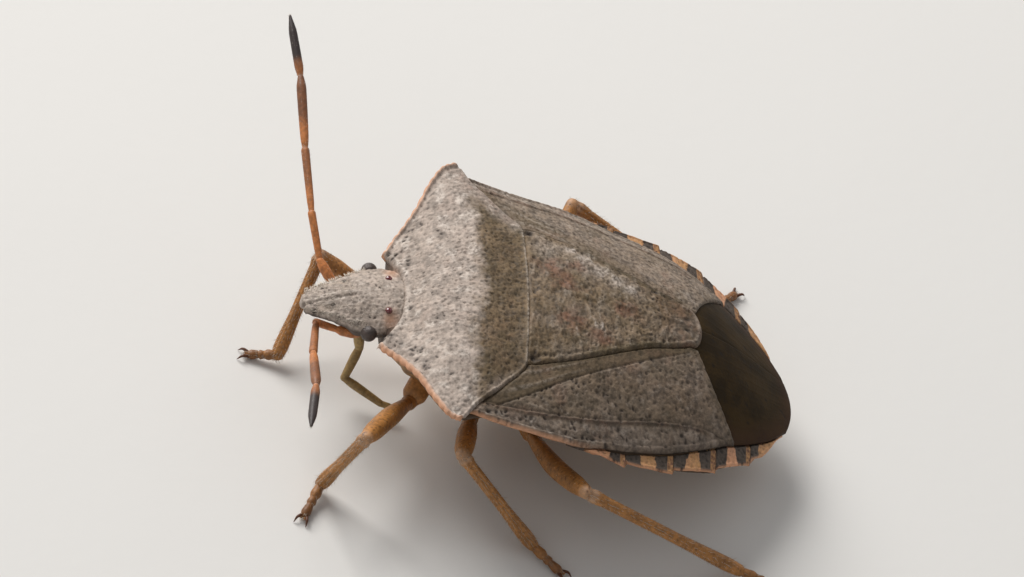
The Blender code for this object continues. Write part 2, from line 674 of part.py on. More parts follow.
def antenna(side_name, joints):
    """A small socket and five segments, each a little thicker in the middle than at its joints."""

    def against_head(x, y):
        return head_under(x, y) - GAP if abs(x) < head_side(y) + GAP else math.inf

    pieces = []
    for k, (a, b) in enumerate(zip(joints, joints[1:]), start=1):
        girth = FEELER_END_GIRTH if k == len(joints) - 1 else FEELER_GIRTH
        ceiling = against_head if k <= 2 else None
        pieces.append(limb("segment", (a, b), girth, "feeler", rings=4, ceiling=ceiling))
    fused("antenna_" + side_name, pieces)


def beak():
    """The four-jointed beak under the head, let down towards the floor."""
    pieces = []
    for k, (a, b) in enumerate(zip(BEAK, BEAK[1:]), start=1):
        girth = BEAK_TIP_GIRTH if k == len(BEAK) - 1 else BEAK_GIRTH
        ceiling = (lambda x, y: head_under(x, y) - GAP) if k == 1 else None
        pieces.append(limb("segment", (a, b), girth, "beak", rings=4, ceiling=ceiling))
    fused("beak", pieces)


def clear_scene():
    for item in list(bpy.data.objects):
        bpy.data.objects.remove(item)


def centre_on_floor():
    """Moves every piece so that the origin is under the middle of the whole model, on the floor."""
    pieces = [item for item in bpy.data.objects if item.type == "MESH"]
    points = np.array([v.co[:] for item in pieces for v in item.data.vertices])
    low, high = points.min(axis=0), points.max(axis=0)
    shift = Vector((-(low[0] + high[0]) / 2, -(low[1] + high[1]) / 2, -low[2]))
    for item in pieces:
        item.data.transform(Matrix.Translation(shift))


def main():
    clear_scene()
    head()
    pronotum()
    scutellum()
    core("thorax", THORAX_Y[0], THORAX_Y[1], thorax_half_width, 7, 10)
    core("abdomen", THORAX_Y[1] + GAP, ABDOMEN_END_Y, abdomen_half_width, 7, 14)
    for side_name, sign in SIDES:
        corium(side_name, sign)
        membrane(side_name, sign)
        connexivum(side_name, sign)
        eye(side_name, sign)
        antenna(side_name, ANTENNAE[side_name])
    for name, joints in LEGS.items():
        leg(name, joints)
    beak()
    centre_on_floor()


main()
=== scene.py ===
"""The looks of a life-size shield bug, laid out as a Blender add-on and run as a script.

Tables and shape functions are in millimetres in the body's own frame: x to the bug's left, y from head
to tail with 0 near the base of the scutellum, and z up from the floor. placed() turns them into the
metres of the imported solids.
"""

import math
from itertools import pairwise

import bpy
import numpy as np
from bpy.props import FloatProperty, FloatVectorProperty, IntProperty, PointerProperty
from mathutils import Matrix, Vector


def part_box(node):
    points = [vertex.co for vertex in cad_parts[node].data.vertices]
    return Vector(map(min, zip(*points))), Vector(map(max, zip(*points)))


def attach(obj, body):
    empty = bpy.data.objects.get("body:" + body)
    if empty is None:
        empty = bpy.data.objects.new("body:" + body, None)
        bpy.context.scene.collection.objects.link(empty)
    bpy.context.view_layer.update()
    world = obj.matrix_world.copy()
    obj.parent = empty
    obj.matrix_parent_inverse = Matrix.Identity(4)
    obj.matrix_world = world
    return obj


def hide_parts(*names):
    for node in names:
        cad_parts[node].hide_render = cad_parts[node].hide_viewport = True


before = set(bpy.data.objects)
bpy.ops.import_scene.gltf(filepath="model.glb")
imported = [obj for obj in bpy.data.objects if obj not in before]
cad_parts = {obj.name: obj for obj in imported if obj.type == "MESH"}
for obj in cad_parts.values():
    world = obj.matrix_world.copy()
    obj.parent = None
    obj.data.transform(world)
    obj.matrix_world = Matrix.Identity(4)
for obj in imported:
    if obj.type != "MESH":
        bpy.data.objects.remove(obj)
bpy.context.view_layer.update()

bl_info = {
    "name": "Shield bug",
    "version": (1, 0, 0),
    "blender": (4, 5, 0),
    "location": "3D View > Sidebar > Shield bug",
    "description": "Dresses the solids of a life-size shield bug in its shell, wings, limbs and hair",
    "category": "Object",
}

MM = 0.001
BODY = "root"
SIDES = (("left", 1), ("right", -1))
COARSE = 8  # points of a plate's fine face to each point of its hidden face

# Driving sizes along the body, as in the solids
HEAD_TIP_Y = -4.74
NECK_Y = -2.66
ANTERIOR_ANGLE = (1.30, -3.18)
HUMERAL_ANGLE = (3.70, -1.62)
PRONOTUM_BACK_Y = -0.15
CREST_Y = -1.12  # the ridge that runs across the pronotum from shoulder to shoulder
SCUTELLUM_HALF_BASE = 1.88
SCUTELLUM_TIP_Y = 3.62
CORIUM_CORNER = (2.02, 4.55)
CORIUM_END_BOW = -0.12  # how far its border with the membrane bows backwards
TAIL_Y = 6.12
CROWN = 2.2  # power of the arch across the back: 2 is a parabola

# Rows of (y, size)
EDGE_HALF_WIDTH = ((-3.18, 1.30), (-2.80, 1.80), (-2.45, 2.42), (-2.15, 3.14), (-1.85, 3.60), (-1.62, 3.70),
                   (-1.10, 3.43), (-0.50, 3.37), (0.70, 3.43), (2.10, 3.44), (3.10, 3.27), (4.13, 2.82),
                   (5.00, 2.15), (5.72, 1.40), (6.12, 0.70))
EDGE_HEIGHT = ((-3.18, 2.63), (-2.80, 2.86), (-2.45, 3.11), (-2.15, 3.29), (-1.90, 3.35), (-1.62, 3.35),
               (-1.10, 3.21), (0.00, 2.95), (1.20, 2.65), (2.10, 2.31), (3.10, 2.08), (4.13, 1.80),
               (5.72, 1.40), (6.12, 1.22))
RIDGE_HEIGHT = ((-3.18, 2.84), (-2.66, 2.96), (-2.00, 3.38), (-1.40, 3.54), (-0.60, 3.60), (0.50, 3.60),
                (1.80, 3.50), (3.00, 3.28), (3.62, 3.10), (4.30, 2.72), (5.00, 2.20), (5.70, 1.62),
                (6.12, 1.30))
BELLY_HEIGHT = ((-3.00, 1.75), (-2.20, 1.20), (-1.20, 0.92), (0.00, 0.85), (2.00, 0.80), (4.00, 0.70),
                (5.00, 0.62), (6.00, 0.66))

# Outlines of the plates: rows of (x, y) for the first two, of (y, x) for the rest
NECK_CURVE = ((0.00, -2.66), (0.50, -2.70), (0.90, -2.86), (1.30, -3.18))
HIND_CURVE = ((0.00, -0.15), (1.90, -0.20), (2.60, -0.72), (3.20, -1.26), (3.58, -1.50), (3.70, -1.62))
SCUTELLUM_SIDE = ((-0.05, 1.88), (0.90, 1.56), (1.80, 1.15), (2.45, 0.85), (3.10, 0.62), (3.38, 0.48))
CORIUM_SIDE = ((-1.15, 3.39), (0.00, 3.38), (0.80, 3.38), (1.25, 3.31), (1.65, 3.21), (2.20, 3.10),
               (2.90, 2.92), (3.65, 2.58), (4.55, 2.02))
MEMBRANE_SIDE = ((4.55, 2.02), (5.00, 1.72), (5.50, 1.32), (5.95, 0.79))
CLAVAL_SUTURE = ((-0.90, 3.10), (0.00, 2.55), (0.75, 2.09), (2.21, 1.33), (3.45, 0.66))
MAIN_VEIN = ((-0.80, 3.10), (1.02, 2.90), (2.57, 2.52), (3.42, 2.32), (3.95, 2.20))
HEAD_SIDE = ((-4.61, 0.28), (-4.27, 0.46), (-3.95, 0.61), (-3.63, 0.75), (-3.40, 0.83), (-3.10, 0.85),
             (-2.98, 0.82))
HEAD_EDGE_HEIGHT = ((-4.74, 2.34), (-4.15, 2.50), (-3.50, 2.58), (-2.80, 2.66))
HEAD_RIDGE_HEIGHT = ((-4.74, 2.38), (-4.20, 2.64), (-3.50, 2.86), (-2.80, 2.96))
HEAD_BELLY_HEIGHT = ((-4.74, 2.22), (-4.30, 2.22), (-4.00, 2.05), (-3.60, 1.85), (-3.20, 1.72), (-2.80, 1.72))
CLYPEUS_HALF_WIDTH = 0.17
SEGMENT_BORDERS = (1.10, 2.05, 3.12, 4.11, 4.98, 5.72)  # y where one abdominal segment ends
PALE_FIELDS = ((1.22, 1.62), (2.44, 2.65), (3.48, 3.67), (4.42, 4.57), (5.25, 6.05))  # along the rim
CORE_HALF_WIDTH = ((-2.95, 1.05), (-2.40, 1.60), (-1.60, 2.35), (-0.80, 2.75), (0.00, 2.75), (2.00, 2.72),
                   (4.00, 2.20), (5.70, 1.05))
TOOTH = 0.105  # how far the rim's outline comes out towards the end of a segment
RIM_INSET = 0.09  # how far the abdomen's rim lies inside the body's side edge
RIM_DROP = 0.09  # how far it lies below the wing beside it
RIM_SLOPE = 0.30  # how far it falls for each millimetre outwards
FAR_RIM = (0.07, 0.16, 0.04)  # drop, slope and extra width of the right rim, which stands a little higher
RIM_ENDS = (0.75, 5.88)
SKIN_ENDS = (-2.98, 6.02)  # of the skin over thorax and abdomen
CORIUM_INNER_END = (0.50, 3.52)
NOTCH_LENGTH, NOTCH_DEPTH = 0.115, 0.028  # of the pronotum's side margin
RIGHT_ANGLE_BACK = 0.10  # how much further back the pronotum's right front angle lies
HEAD_REAR_HALF_WIDTH = 0.84
HEAD_LEAST_HALF_WIDTH = 0.3
NAPE_HALF_WIDTH = 0.83
JUGUM_STEP = 0.07  # how far behind the tip of the clypeus the juga begin beside it
WIDEST_SKIN = 3.55  # half width of the underside's skin where it is widest

EYE = (0.84, -3.33, 2.48)
EYE_RADII = (0.16, 0.17, 0.175)
EYE_FACET = 0.026
FAR_CHEEK = 0.14  # share by which the right side of the head is wider than the left beside the eye
FAR_EYE_SHIFT = (-0.11, 0.0, 0.04)
OCELLUS = (0.46, -2.98)
OCELLUS_RADII = (0.075, 0.075, 0.055)

# Places on the plates: (x, y), those of paired features on the left side
HEAD_CALLUS = (0.62, -2.95)
HEAD_CORNER = (0.70, -2.84)
HEAD_PINK = (0.62, -2.92)
FEELER_SOCKET = (0.62, -3.56)
BUCCULA_X = 0.17  # x alone, as the ridges beside the beak run along the throat
PRONOTUM_CALLUS = (0.80, -2.33)
# Centre of the painted shade on the left shoulder
SHOULDER_PAINTED_SHADE = (3.15, -1.15)
SCUTELLUM_SWELLING = (0.0, 0.75)
SCUTELLUM_CORNER_PIT = (1.80, -0.10)
SCUTELLUM_FAR_BLOOM = (-1.30, 0.30)
CORIUM_INNER_BLOT = (0.75, 3.25)
THORAX_SEAMS = (-1.55, -0.30)  # y of each seam across the thorax
THORAX_END = 0.55  # y of the border between thorax and abdomen
SCENT_GLAND = (2.0, 0.02)
GLAND_FIELD = (2.25, 0.02)

# Marks of the shell: rows of (x, y, radius)
HEAD_MARKS = ((0.17, -4.48, 0.10), (-0.17, -4.42, 0.09), (0.36, -4.10, 0.10), (-0.40, -3.86, 0.09),
              (0.40, -3.52, 0.08), (-0.15, -3.45, 0.07), (0.62, -3.30, 0.09), (-0.62, -3.42, 0.10),
              (-0.12, -4.28, 0.09), (0.32, -4.40, 0.09), (-0.14, -3.20, 0.06))
PRONOTUM_MARKS = ((-0.83, -2.61, 0.15), (-1.46, -2.00, 0.15), (0.22, -2.11, 0.10), (0.92, -2.03, 0.14),
                  (2.51, -1.89, 0.12), (1.37, -2.91, 0.13), (1.10, -3.01, 0.10), (1.40, -2.72, 0.12),
                  (1.68, -2.43, 0.12), (-0.42, -2.28, 0.08), (0.42, -2.56, 0.08), (-1.90, -2.38, 0.09),
                  (-2.48, -1.92, 0.09), (1.95, -1.60, 0.08), (-0.30, -1.62, 0.07), (-1.25, -2.92, 0.10),
                  (0.62, -2.30, 0.07), (1.52, -2.20, 0.09), (2.05, -2.14, 0.08), (-0.95, -2.20, 0.07))
SCUTELLUM_BLOOM = ((-1.42, 0.78, 0.13), (-1.18, 1.08, 0.17), (-0.92, 1.40, 0.20), (-0.72, 1.74, 0.19),
                   (-0.55, 2.04, 0.14))
SCUTELLUM_LILAC = ((0.62, 1.34, 0.26), (0.30, 1.75, 0.18), (0.95, 0.95, 0.16))
SCUTELLUM_RUST = ((-0.78, 0.35, 0.55), (-0.28, 0.60, 0.50), (0.68, 0.72, 0.60), (0.10, 1.90, 0.45),
                  (0.95, 1.35, 0.40), (-0.90, 1.00, 0.40))
SCUTELLUM_TIP_PITS = ((-0.16, 3.30, 0.13), (0.16, 3.30, 0.10))

# How high each form stands on its plate, or how deep it lies where the number is below 0
RELIEF = {
    "head": {"clypeus": 0.022, "suture": -0.016, "bead": 0.012, "hollow": -0.015, "under_neck": -0.10,
             "socket": -0.10, "bucculae": -0.10, "grain": 0.012},
    "pronotum": {"front_rib": 0.024, "rear_rib": 0.022, "bead": 0.03, "gutter": -0.03, "callus": 0.03,
                 "crest": 0.045, "saddle": -0.025},
    "scutellum": {"lift": 0.04, "wrinkles": 0.028, "swelling": 0.03, "keel": 0.02, "horseshoe": 0.035,
                  "tip_pits": -0.03, "corner_pit": -0.09, "tucked": -0.12, "groove": -0.015},
    "corium": {"vein": 0.02, "branch": 0.012, "stripe": 0.015, "suture": -0.02, "beside_vein": -0.015,
               "gutter": -0.012, "bead": 0.02, "beneath_scutellum": -0.10, "beneath_pronotum": -0.055},
    "membrane": {"vein": 0.004, "crease": 0.010, "beneath_corium": -0.06},
    "rim": {"seam": -0.02, "grain": 0.008, "bead": 0.02, "beneath_wing": -0.09},
    "underside": {"seam": 0.035, "spiracle": 0.03, "thorax_seam": 0.05, "hip_ring": -0.07, "hip_socket": 0.10,
                  "gland": -0.04, "pit": 0.015, "grain": 0.006},
}

# Width and length of each plate that the grain divides into columns and rows
SPANS = {
    "head": (0.86, 2.2),
    "pronotum": (3.6, 2.7),
    "scutellum": (1.5, 3.9),
    "corium": (1.9, 5.0),
    "membrane": (2.2, 2.6),
    "rim": (0.75, 5.4),
    "underside": (3.3, 8.9),
}

# Joints of the limbs from the body outwards, as in the solids
LEGS = {
    "fore_left": ((0.80, -1.95, 1.05), (1.12, -2.12, 0.95), (2.25, -2.72, 1.55), (3.41, -3.31, 2.08),
                  (3.12, -3.86, 0.28), (3.92, -4.18, 0.12)),
    "fore_right": ((-0.80, -1.95, 1.05), (-1.10, -2.14, 0.95), (-1.45, -3.22, 1.42), (-1.80, -4.24, 1.92),
                   (-0.36, -4.82, 0.29), (-0.40, -5.42, 0.12)),
    "mid_left": ((0.85, -0.75, 0.90), (1.20, -0.80, 0.82), (2.35, -1.05, 1.44), (3.47, -1.29, 2.04),
                 (4.01, 0.58, 0.28), (4.52, 1.19, 0.12)),
    "mid_right": ((-0.85, -0.75, 0.90), (-1.20, -0.80, 0.82), (-2.35, -0.98, 1.44), (-3.47, -1.16, 2.04),
                  (-4.05, 0.70, 0.28), (-4.58, 1.32, 0.12)),
    "hind_left": ((0.85, 0.40, 0.80), (1.22, 0.46, 0.66), (2.65, 0.86, 1.22), (4.00, 1.30, 2.02),
                  (3.93, 5.00, 0.29), (4.12, 5.88, 0.12)),
    "hind_right": ((-0.85, 0.40, 0.80), (-1.22, 0.46, 0.66), (-2.78, 0.82, 1.24), (-4.30, 1.26, 2.11),
                   (-3.75, 4.95, 0.29), (-4.33, 5.46, 0.12)),
}
ANTENNAE = {
    "left": ((0.55, -3.50, 2.12), (0.40, -3.88, 2.02), (0.14, -4.32, 1.88), (1.43, -4.46, 2.33),
             (2.83, -4.49, 2.84), (4.14, -4.62, 3.00)),
    "right": ((-0.62, -3.78, 1.90), (-1.26, -4.33, 2.29), (-2.12, -4.61, 2.79), (-3.50, -4.85, 3.25),
              (-5.02, -5.09, 3.90), (-6.30, -5.44, 4.44)),
}
BEAK = ((0.00, -3.36, 1.62), (0.04, -3.26, 1.20), (0.38, -3.46, 0.60), (0.68, -2.62, 0.30),
        (0.76, -2.22, 0.26))

# Girth of the limbs: rows of (share of the length, radius)
COXA_GIRTH = ((0, 0.27), (0.6, 0.26), (1, 0.17))
TROCHANTER_GIRTH = ((0, 0.14), (0.5, 0.17), (1, 0.13))
FEMUR_GIRTH = ((0, 0.12), (0.12, 0.15), (0.50, 0.21), (0.80, 0.20), (0.94, 0.16), (1, 0.14))
TIBIA_GIRTH = ((0, 0.11), (0.05, 0.15), (0.12, 0.125), (0.55, 0.12), (0.92, 0.15), (1, 0.13))
FOOT_SEGMENTS = ((0.00, 0.42, 0.115), (0.40, 0.64, 0.10), (0.62, 0.97, 0.105))  # (start, end, radius)
FOOT_GIRTH = ((0, 0.62), (0.35, 0.85), (0.8, 1), (1, 0.78))  # (share of the segment, share of its radius)
BEAK_GIRTHS = (((0, 0.12), (0.5, 0.115), (1, 0.09)), ((0, 0.085), (0.3, 0.10), (1, 0.085)),
               ((0, 0.075), (0.3, 0.095), (1, 0.075)), ((0, 0.07), (0.4, 0.07), (1, 0.03)))
FEELER_GIRTHS = (((0, 0.08), (0.3, 0.11), (0.8, 0.11), (1, 0.08)), ((0, 0.06), (0.2, 0.075), (1, 0.085)),
                 ((0, 0.055), (0.2, 0.075), (1, 0.09)), ((0, 0.055), (0.2, 0.09), (0.85, 0.105), (1, 0.07)),
                 ((0, 0.055), (0.2, 0.095), (0.7, 0.09), (1, 0.03)))
CLAW_GIRTH = ((0, 0.040), (0.5, 0.030), (1, 0.006))
PAD_GIRTH = ((0, 0.03), (1, 0.036))
END_BULGE = 0.9  # how far the round ends of a limb's stretches stand out, for a radius of 1

# Feet: heights, and steps (along, outwards, up) from the toe to the points of claws and pads
ANKLE_HEIGHT, TOE_HEIGHT = 0.24, 0.085
CLAW_BASE, CLAW_BEND, CLAW_TIP = (-0.03, 0.035, 0.0), (0.15, 0.07, 0.03), (0.10, 0.03, -0.095)
PAD_TIP = (0.09, 0.015, 0.0)

# Hairs: how many on each stretch, their radius and length, and the girth of the foot that they stand on
FEMUR_HAIRS, TIBIA_HAIRS, FOOT_HAIRS = 150, 420, 130
FEELER_HAIRS = (40, 40, 110, 110, 110)
HEAD_FRINGE_HAIRS, HEAD_TOP_HAIRS = 210, 420
LEG_HAIR_RADIUS, FEELER_HAIR_RADIUS, HEAD_HAIR_RADIUS = 0.006, 0.004, 0.010
FEELER_HAIR_LENGTH = 0.05
HEAD_FRINGE_LENGTHS, HEAD_TOP_LENGTHS = (0.04, 0.10), (0.03, 0.07)  # the shortest and the longest
FOOT_HAIR_GIRTH = ((0, 0.09), (1, 0.09))

# How dark a feeler's segments are at their start and end
FEELER_DARK = ((0.0, 0.0), (0.0, 0.05), (0.05, 0.40), (0.12, 0.62), (0.35, 1.0))

# Camera: the turn of its axes, and how far and how long its lens is
CAMERA_AZIMUTH, CAMERA_ELEVATION, CAMERA_ROLL = 1.32003959, 0.762826729, 0.321077221
CAMERA_TARGET_Z = 2.2
CAMERA_DISTANCE = 94.121
CAMERA_SHIFT = (0.20368, -0.99956)  # of its place, along its own right and up
CAMERA_LENS = 158.2

# Lights: name, way from the bug, distance and size in metres, power in watts, colour
LIGHTS = (
    ("key", (-1.0, -0.70, 0.95), 0.22, 0.14, 0.58, (1.0, 0.985, 0.965)),
    ("fill", (0.8, -0.7, 0.9), 0.25, 0.22, 0.05, (0.96, 0.98, 1.0)),
    ("back", (-0.6, 0.8, 0.9), 0.25, 0.20, 0.05, (1.0, 1.0, 1.0)),
)
ROOM_COLOUR, ROOM_STRENGTH = (0.95, 0.95, 0.97, 1.0), 0.30
FLOOR_RADIUS = 0.9  # in metres


# Colours and sizes that a user would change


def display(red, green, blue):
    """A colour as a screen shows it, 0 to 255, for the default of a property."""
    return (red / 255, green / 255, blue / 255)


def colour_setting(name, description, default):
    return FloatVectorProperty(name=name, description=description, default=display(*default), size=3,
                               subtype="COLOR_GAMMA", min=0, max=1)


def length_setting(name, description, default):
    return FloatProperty(name=name, description=description, default=default * MM, min=0, unit="LENGTH",
                         subtype="DISTANCE", precision=6)


class ShieldBugSizes(bpy.types.PropertyGroup):
    """Sizes of the fine forms, in metres."""

    grain: length_setting("Grain", "Distance between points on the back", 0.020)
    pit_spacing: length_setting("Pit spacing", "Distance between the punctures of the shell", 0.125)
    pit_radius: length_setting("Pit radius", "Radius of one puncture", 0.048)
    pit_depth: length_setting("Pit depth", "Depth of one puncture", 0.022)
    crust: length_setting("Crust", "Height of the rough crust between the punctures", 0.020)
    shell: length_setting("Shell", "Thickness of the back plates", 0.30)
    wing: length_setting("Wing", "Thickness of the leathery forewings", 0.14)
    membrane: length_setting("Membrane", "Thickness of the thin wing ends", 0.05)
    hair: length_setting("Hair", "Length of the short hairs on the limbs", 0.11)
    sides: IntProperty(name="Sides", description="Points round a limb", default=36, min=8, max=96)


class ShieldBugColours(bpy.types.PropertyGroup):
    """Colours of the shell, wings, limbs and stage."""

    pale: colour_setting("Pale crust", "Front of the back and the head", (180, 165, 153))
    brown: colour_setting("Brown", "Rear of the pronotum and the scutellum", (108, 90, 68))
    wing: colour_setting("Wing", "Leathery part of the forewings", (109, 91, 72))
    # Also the colour of painted shade under the head's side edges, on the underside's front end and flanks,
    # and over the left side of the back
    pit: colour_setting("Punctures", "Dark punctures of the shell", (50, 42, 37))
    margin: colour_setting("Margin", "Side margin of the pronotum", (222, 164, 126))
    rust: colour_setting("Rust", "Reddish patches", (112, 78, 62))
    olive: colour_setting("Olive", "Strip of the forewing beside the scutellum", (88, 76, 54))
    white: colour_setting("Bloom", "Whitish scales and ridges", (214, 203, 192))
    membrane: colour_setting("Membrane", "Thin wing ends", (47, 34, 13))
    rim: colour_setting("Rim", "Pale fields of the abdomen's rim", (196, 148, 98))
    rim_dark: colour_setting("Rim bands", "Dark bands of the abdomen's rim", (84, 73, 64))
    belly: colour_setting("Belly", "Underside", (172, 134, 88))
    leg: colour_setting("Legs", "Legs", (174, 120, 64))
    # Also the colour of the painted shade at the front end of the underside
    leg_spot: colour_setting("Leg spots", "Dark dots on the legs", (88, 50, 26))
    feeler: colour_setting("Feelers", "Orange part of the feelers", (196, 122, 66))
    feeler_dark: colour_setting("Feeler ends", "Dark part of the feelers", (52, 42, 40))
    beak: colour_setting("Beak", "Beak", (166, 140, 88))
    eye: colour_setting("Eyes", "Compound eyes", (80, 66, 60))
    ocellus: colour_setting("Small eyes", "The two small eyes on the crown", (104, 18, 24))
    hair: colour_setting("Hair", "Short hairs", (222, 210, 194))
    floor: colour_setting("Floor", "Studio floor", (226, 224, 220))


def sizes():
    """The sizes set in the panel, in millimetres."""
    chosen = bpy.context.scene.shield_bug_sizes
    lengths = {name: getattr(chosen, name) / MM for name in ShieldBugSizes.__annotations__}
    return {**lengths, "sides": chosen.sides}


def colours():
    """The colours set in the panel, as the light that a shader works with."""
    chosen = bpy.context.scene.shield_bug_colours
    return {name: linear(getattr(chosen, name)) for name in ShieldBugColours.__annotations__}


def linear(colour):
    """A display colour as linear light, with an alpha of 1."""
    return (*(c / 12.92 if c <= 0.04045 else ((c + 0.055) / 1.055) ** 2.4 for c in colour), 1.0)


# Shape functions


def profile(rows):
    """A smooth curve through the rows that never swings past them."""
    at = np.array([row[0] for row in rows], float)
    size = np.array([row[1] for row in rows], float)
    step = np.diff(at)
    rise = np.diff(size) / step
    slope = np.zeros(len(at))
    slope[0], slope[-1] = rise[0], rise[-1]
    for i in range(1, len(at) - 1):
        if rise[i - 1] * rise[i] > 0:
            slope[i] = 2 * rise[i - 1] * rise[i] / (rise[i - 1] + rise[i])

    def value(x):
        x = np.clip(np.asarray(x, float), at[0], at[-1])
        i = np.clip(np.searchsorted(at, x, side="right") - 1, 0, len(at) - 2)
        t = (x - at[i]) / step[i]
        start = (1 + 2 * t) * (1 - t) ** 2 * size[i] + t * (1 - t) ** 2 * step[i] * slope[i]
        end = t * t * (3 - 2 * t) * size[i + 1] + t * t * (t - 1) * step[i] * slope[i + 1]
        return start + end

    return value


edge_half_width = profile(EDGE_HALF_WIDTH)
edge_height = profile(EDGE_HEIGHT)
ridge_height = profile(RIDGE_HEIGHT)
belly_height = profile(BELLY_HEIGHT)
neck_curve = profile(NECK_CURVE)
hind_curve = profile(HIND_CURVE)
scutellum_side = profile(SCUTELLUM_SIDE)
corium_side = profile(CORIUM_SIDE)
membrane_side = profile(MEMBRANE_SIDE)
core_half_width = profile(CORE_HALF_WIDTH)
claval_suture = profile(CLAVAL_SUTURE)
main_vein = profile(MAIN_VEIN)
head_side = profile(HEAD_SIDE)
head_edge_height = profile(HEAD_EDGE_HEIGHT)
head_ridge_height = profile(HEAD_RIDGE_HEIGHT)
head_belly_height = profile(HEAD_BELLY_HEIGHT)


def arch(x, half, edge, middle, power):
    """Height across a section: middle at x = 0, edge at x = half."""
    share = np.clip(np.abs(x) / half, 0, 1)
    return edge + (middle - edge) * (1 - share**power)


def back(x, y):
    """Height of the whole bug's back behind the head."""
    return arch(x, edge_half_width(y), edge_height(y), ridge_height(y), CROWN)


def smooth(low, high, value):
    """0 below low, 1 above high, with an eased step between."""
    t = np.clip((value - low) / (high - low), 0, 1)
    return t * t * (3 - 2 * t)


def bump(distance, width):
    """A soft ridge: 1 at distance 0, and 0 beyond width."""
    return 1 - smooth(0, width, np.abs(distance))


def spot(x, y, at, radius, wide=1.0):
    """A soft round ridge at a place, 1 in its middle. wide stretches it across."""
    return bump(np.hypot((x - at[0]) / wide, y - at[1]), radius)


def held(values, most=1.0):
    """Values kept between 0 and the most."""
    return np.clip(values, 0, most)


def raised(surface, plate, **forms):
    """A plate's surface with forms on it, each given as its share of the height that RELIEF says."""
    for form, share in forms.items():
        surface = surface + RELIEF[plate][form] * share
    return surface


def rolled(distance, radius):
    """How far a rounded edge of that radius drops, at a distance from the border."""
    t = 1 - np.clip(distance / radius, 0, 1)
    return radius * (1 - np.sqrt(1 - t * t))


SCATTER_FACTORS = (374761393, 668265263, 974634777, 1274126177)  # large odd numbers that mix the bits well


def scatter(i, j, seed):
    """A repeatable random share, 0 to 1, for each pair of whole numbers."""
    i_factor, j_factor, seed_factor, mixing = SCATTER_FACTORS
    mixed = (i.astype(np.int64) * i_factor + j.astype(np.int64) * j_factor + seed * seed_factor) & 0xFFFFFFFF
    mixed = ((mixed ^ (mixed >> 13)) * mixing) & 0xFFFFFFFF
    return ((mixed ^ (mixed >> 16)) & 0xFFFF) / 0xFFFF


def ripple(x, y, size, seed, rounds=3):
    """Smooth random relief from about -1 to 1, with features of that size and finer ones on them."""
    total = np.zeros(np.shape(x))
    strength = 1.0
    for turn in range(rounds):
        i, j = np.floor(x / size), np.floor(y / size)
        s, t = x / size - i, y / size - j
        s, t = s * s * (3 - 2 * s), t * t * (3 - 2 * t)
        a, b = scatter(i, j, seed + turn), scatter(i + 1, j, seed + turn)
        c, d = scatter(i, j + 1, seed + turn), scatter(i + 1, j + 1, seed + turn)
        total += strength * (2 * ((1 - t) * ((1 - s) * a + s * b) + t * ((1 - s) * c + s * d)) - 1)
        strength *= 0.5
        size *= 0.5
    return total / 1.5


def punctures(x, y, spacing, seed):
    """Distance to the nearest of many scattered points, and that point's own random share."""
    nearest = np.full(np.shape(x), spacing * 4)
    share = np.zeros(np.shape(x))
    i, j = np.floor(x / spacing), np.floor(y / spacing)
    for di in (-1, 0, 1):
        for dj in (-1, 0, 1):
            u, v = i + di, j + dj
            px = (u + 0.12 + 0.76 * scatter(u, v, seed)) * spacing
            py = (v + 0.12 + 0.76 * scatter(u, v, seed + 1)) * spacing
            distance = np.hypot(x - px, y - py)
            share = np.where(distance < nearest, scatter(u, v, seed + 2), share)
            nearest = np.minimum(nearest, distance)
    return nearest, share


def blots(x, y, marks, seed):
    """Ragged blots over a surface. marks holds rows of (x, y, radius)."""
    total = np.zeros(np.shape(x))
    for *at, radius in marks:
        total = np.maximum(total, spot(x, y, at, radius * 1.6))
    return smooth(0.30, 0.62, total + 0.45 * ripple(x, y, 0.09, seed))


def wing_half_width(y):
    """The outer edge of a folded forewing: its leathery part, then its membrane."""
    corner_y = CORIUM_CORNER[1]
    return np.where(y < corner_y, corium_side(np.minimum(y, corner_y)), membrane_side(y))


def patch(front, rear, inner, outer, columns, rows):
    """Grid of (x, y) points that fills four boundary curves. Each curve maps 0..1 to (x, y)."""
    across = np.linspace(0, 1, columns + 1)
    along = np.linspace(0, 1, rows + 1)
    f, r = (np.array([curve(s) for s in across], float) for curve in (front, rear))
    i, o = (np.array([curve(t) for t in along], float) for curve in (inner, outer))
    s, t = across[None, :, None], along[:, None, None]
    ruled = (1 - t) * f[None] + t * r[None] + (1 - s) * i[:, None] + s * o[:, None]
    corners = (1 - t) * ((1 - s) * f[0] + s * f[-1]) + t * ((1 - s) * r[0] + s * r[-1])
    return ruled - corners


def crossing(line, start, end, shift=0.0):
    """A boundary that runs from one x to another along y = line(x) + shift."""

    def curve(s):
        x = start + s * (end - start)
        return x, float(line(x)) + shift

    return curve


def running(line, start, end, shift=0.0):
    """A boundary that runs from one y to another along x = line(y) + shift."""

    def curve(t):
        y = start + t * (end - start)
        return float(line(y)) + shift, y

    return curve


def middle_line(y):
    """The x of the bug's middle, for every y."""
    return 0.0 * y


def mirrored(grid):
    """A half grid from the middle line outwards, made whole."""
    other = grid[:, :0:-1] * np.array([-1, 1])
    return np.concatenate([other, grid], axis=1)


def cuts(length, step):
    """Number of steps along a length, as a multiple of the hidden face's coarser steps."""
    return COARSE * max(1, round(length / step / COARSE))


def cells(plate, wide=1.0, long=1.0):
    """Columns and rows of a plate. wide and long say how much coarser than the grain they are."""
    grain = sizes()["grain"]
    width, length = SPANS[plate]
    return cuts(width, grain * wide), cuts(length, grain * long)


def border_distance(grid, line):
    """Distance from each point of a grid to the nearest point of a line."""
    x, y = grid[..., 0].ravel(), grid[..., 1].ravel()
    nearest = np.full(x.shape, 1e9)
    for px, py in line[:: max(1, len(line) // 200)]:
        nearest = np.minimum(nearest, (x - px) ** 2 + (y - py) ** 2)
    return np.sqrt(nearest).reshape(grid.shape[:2])


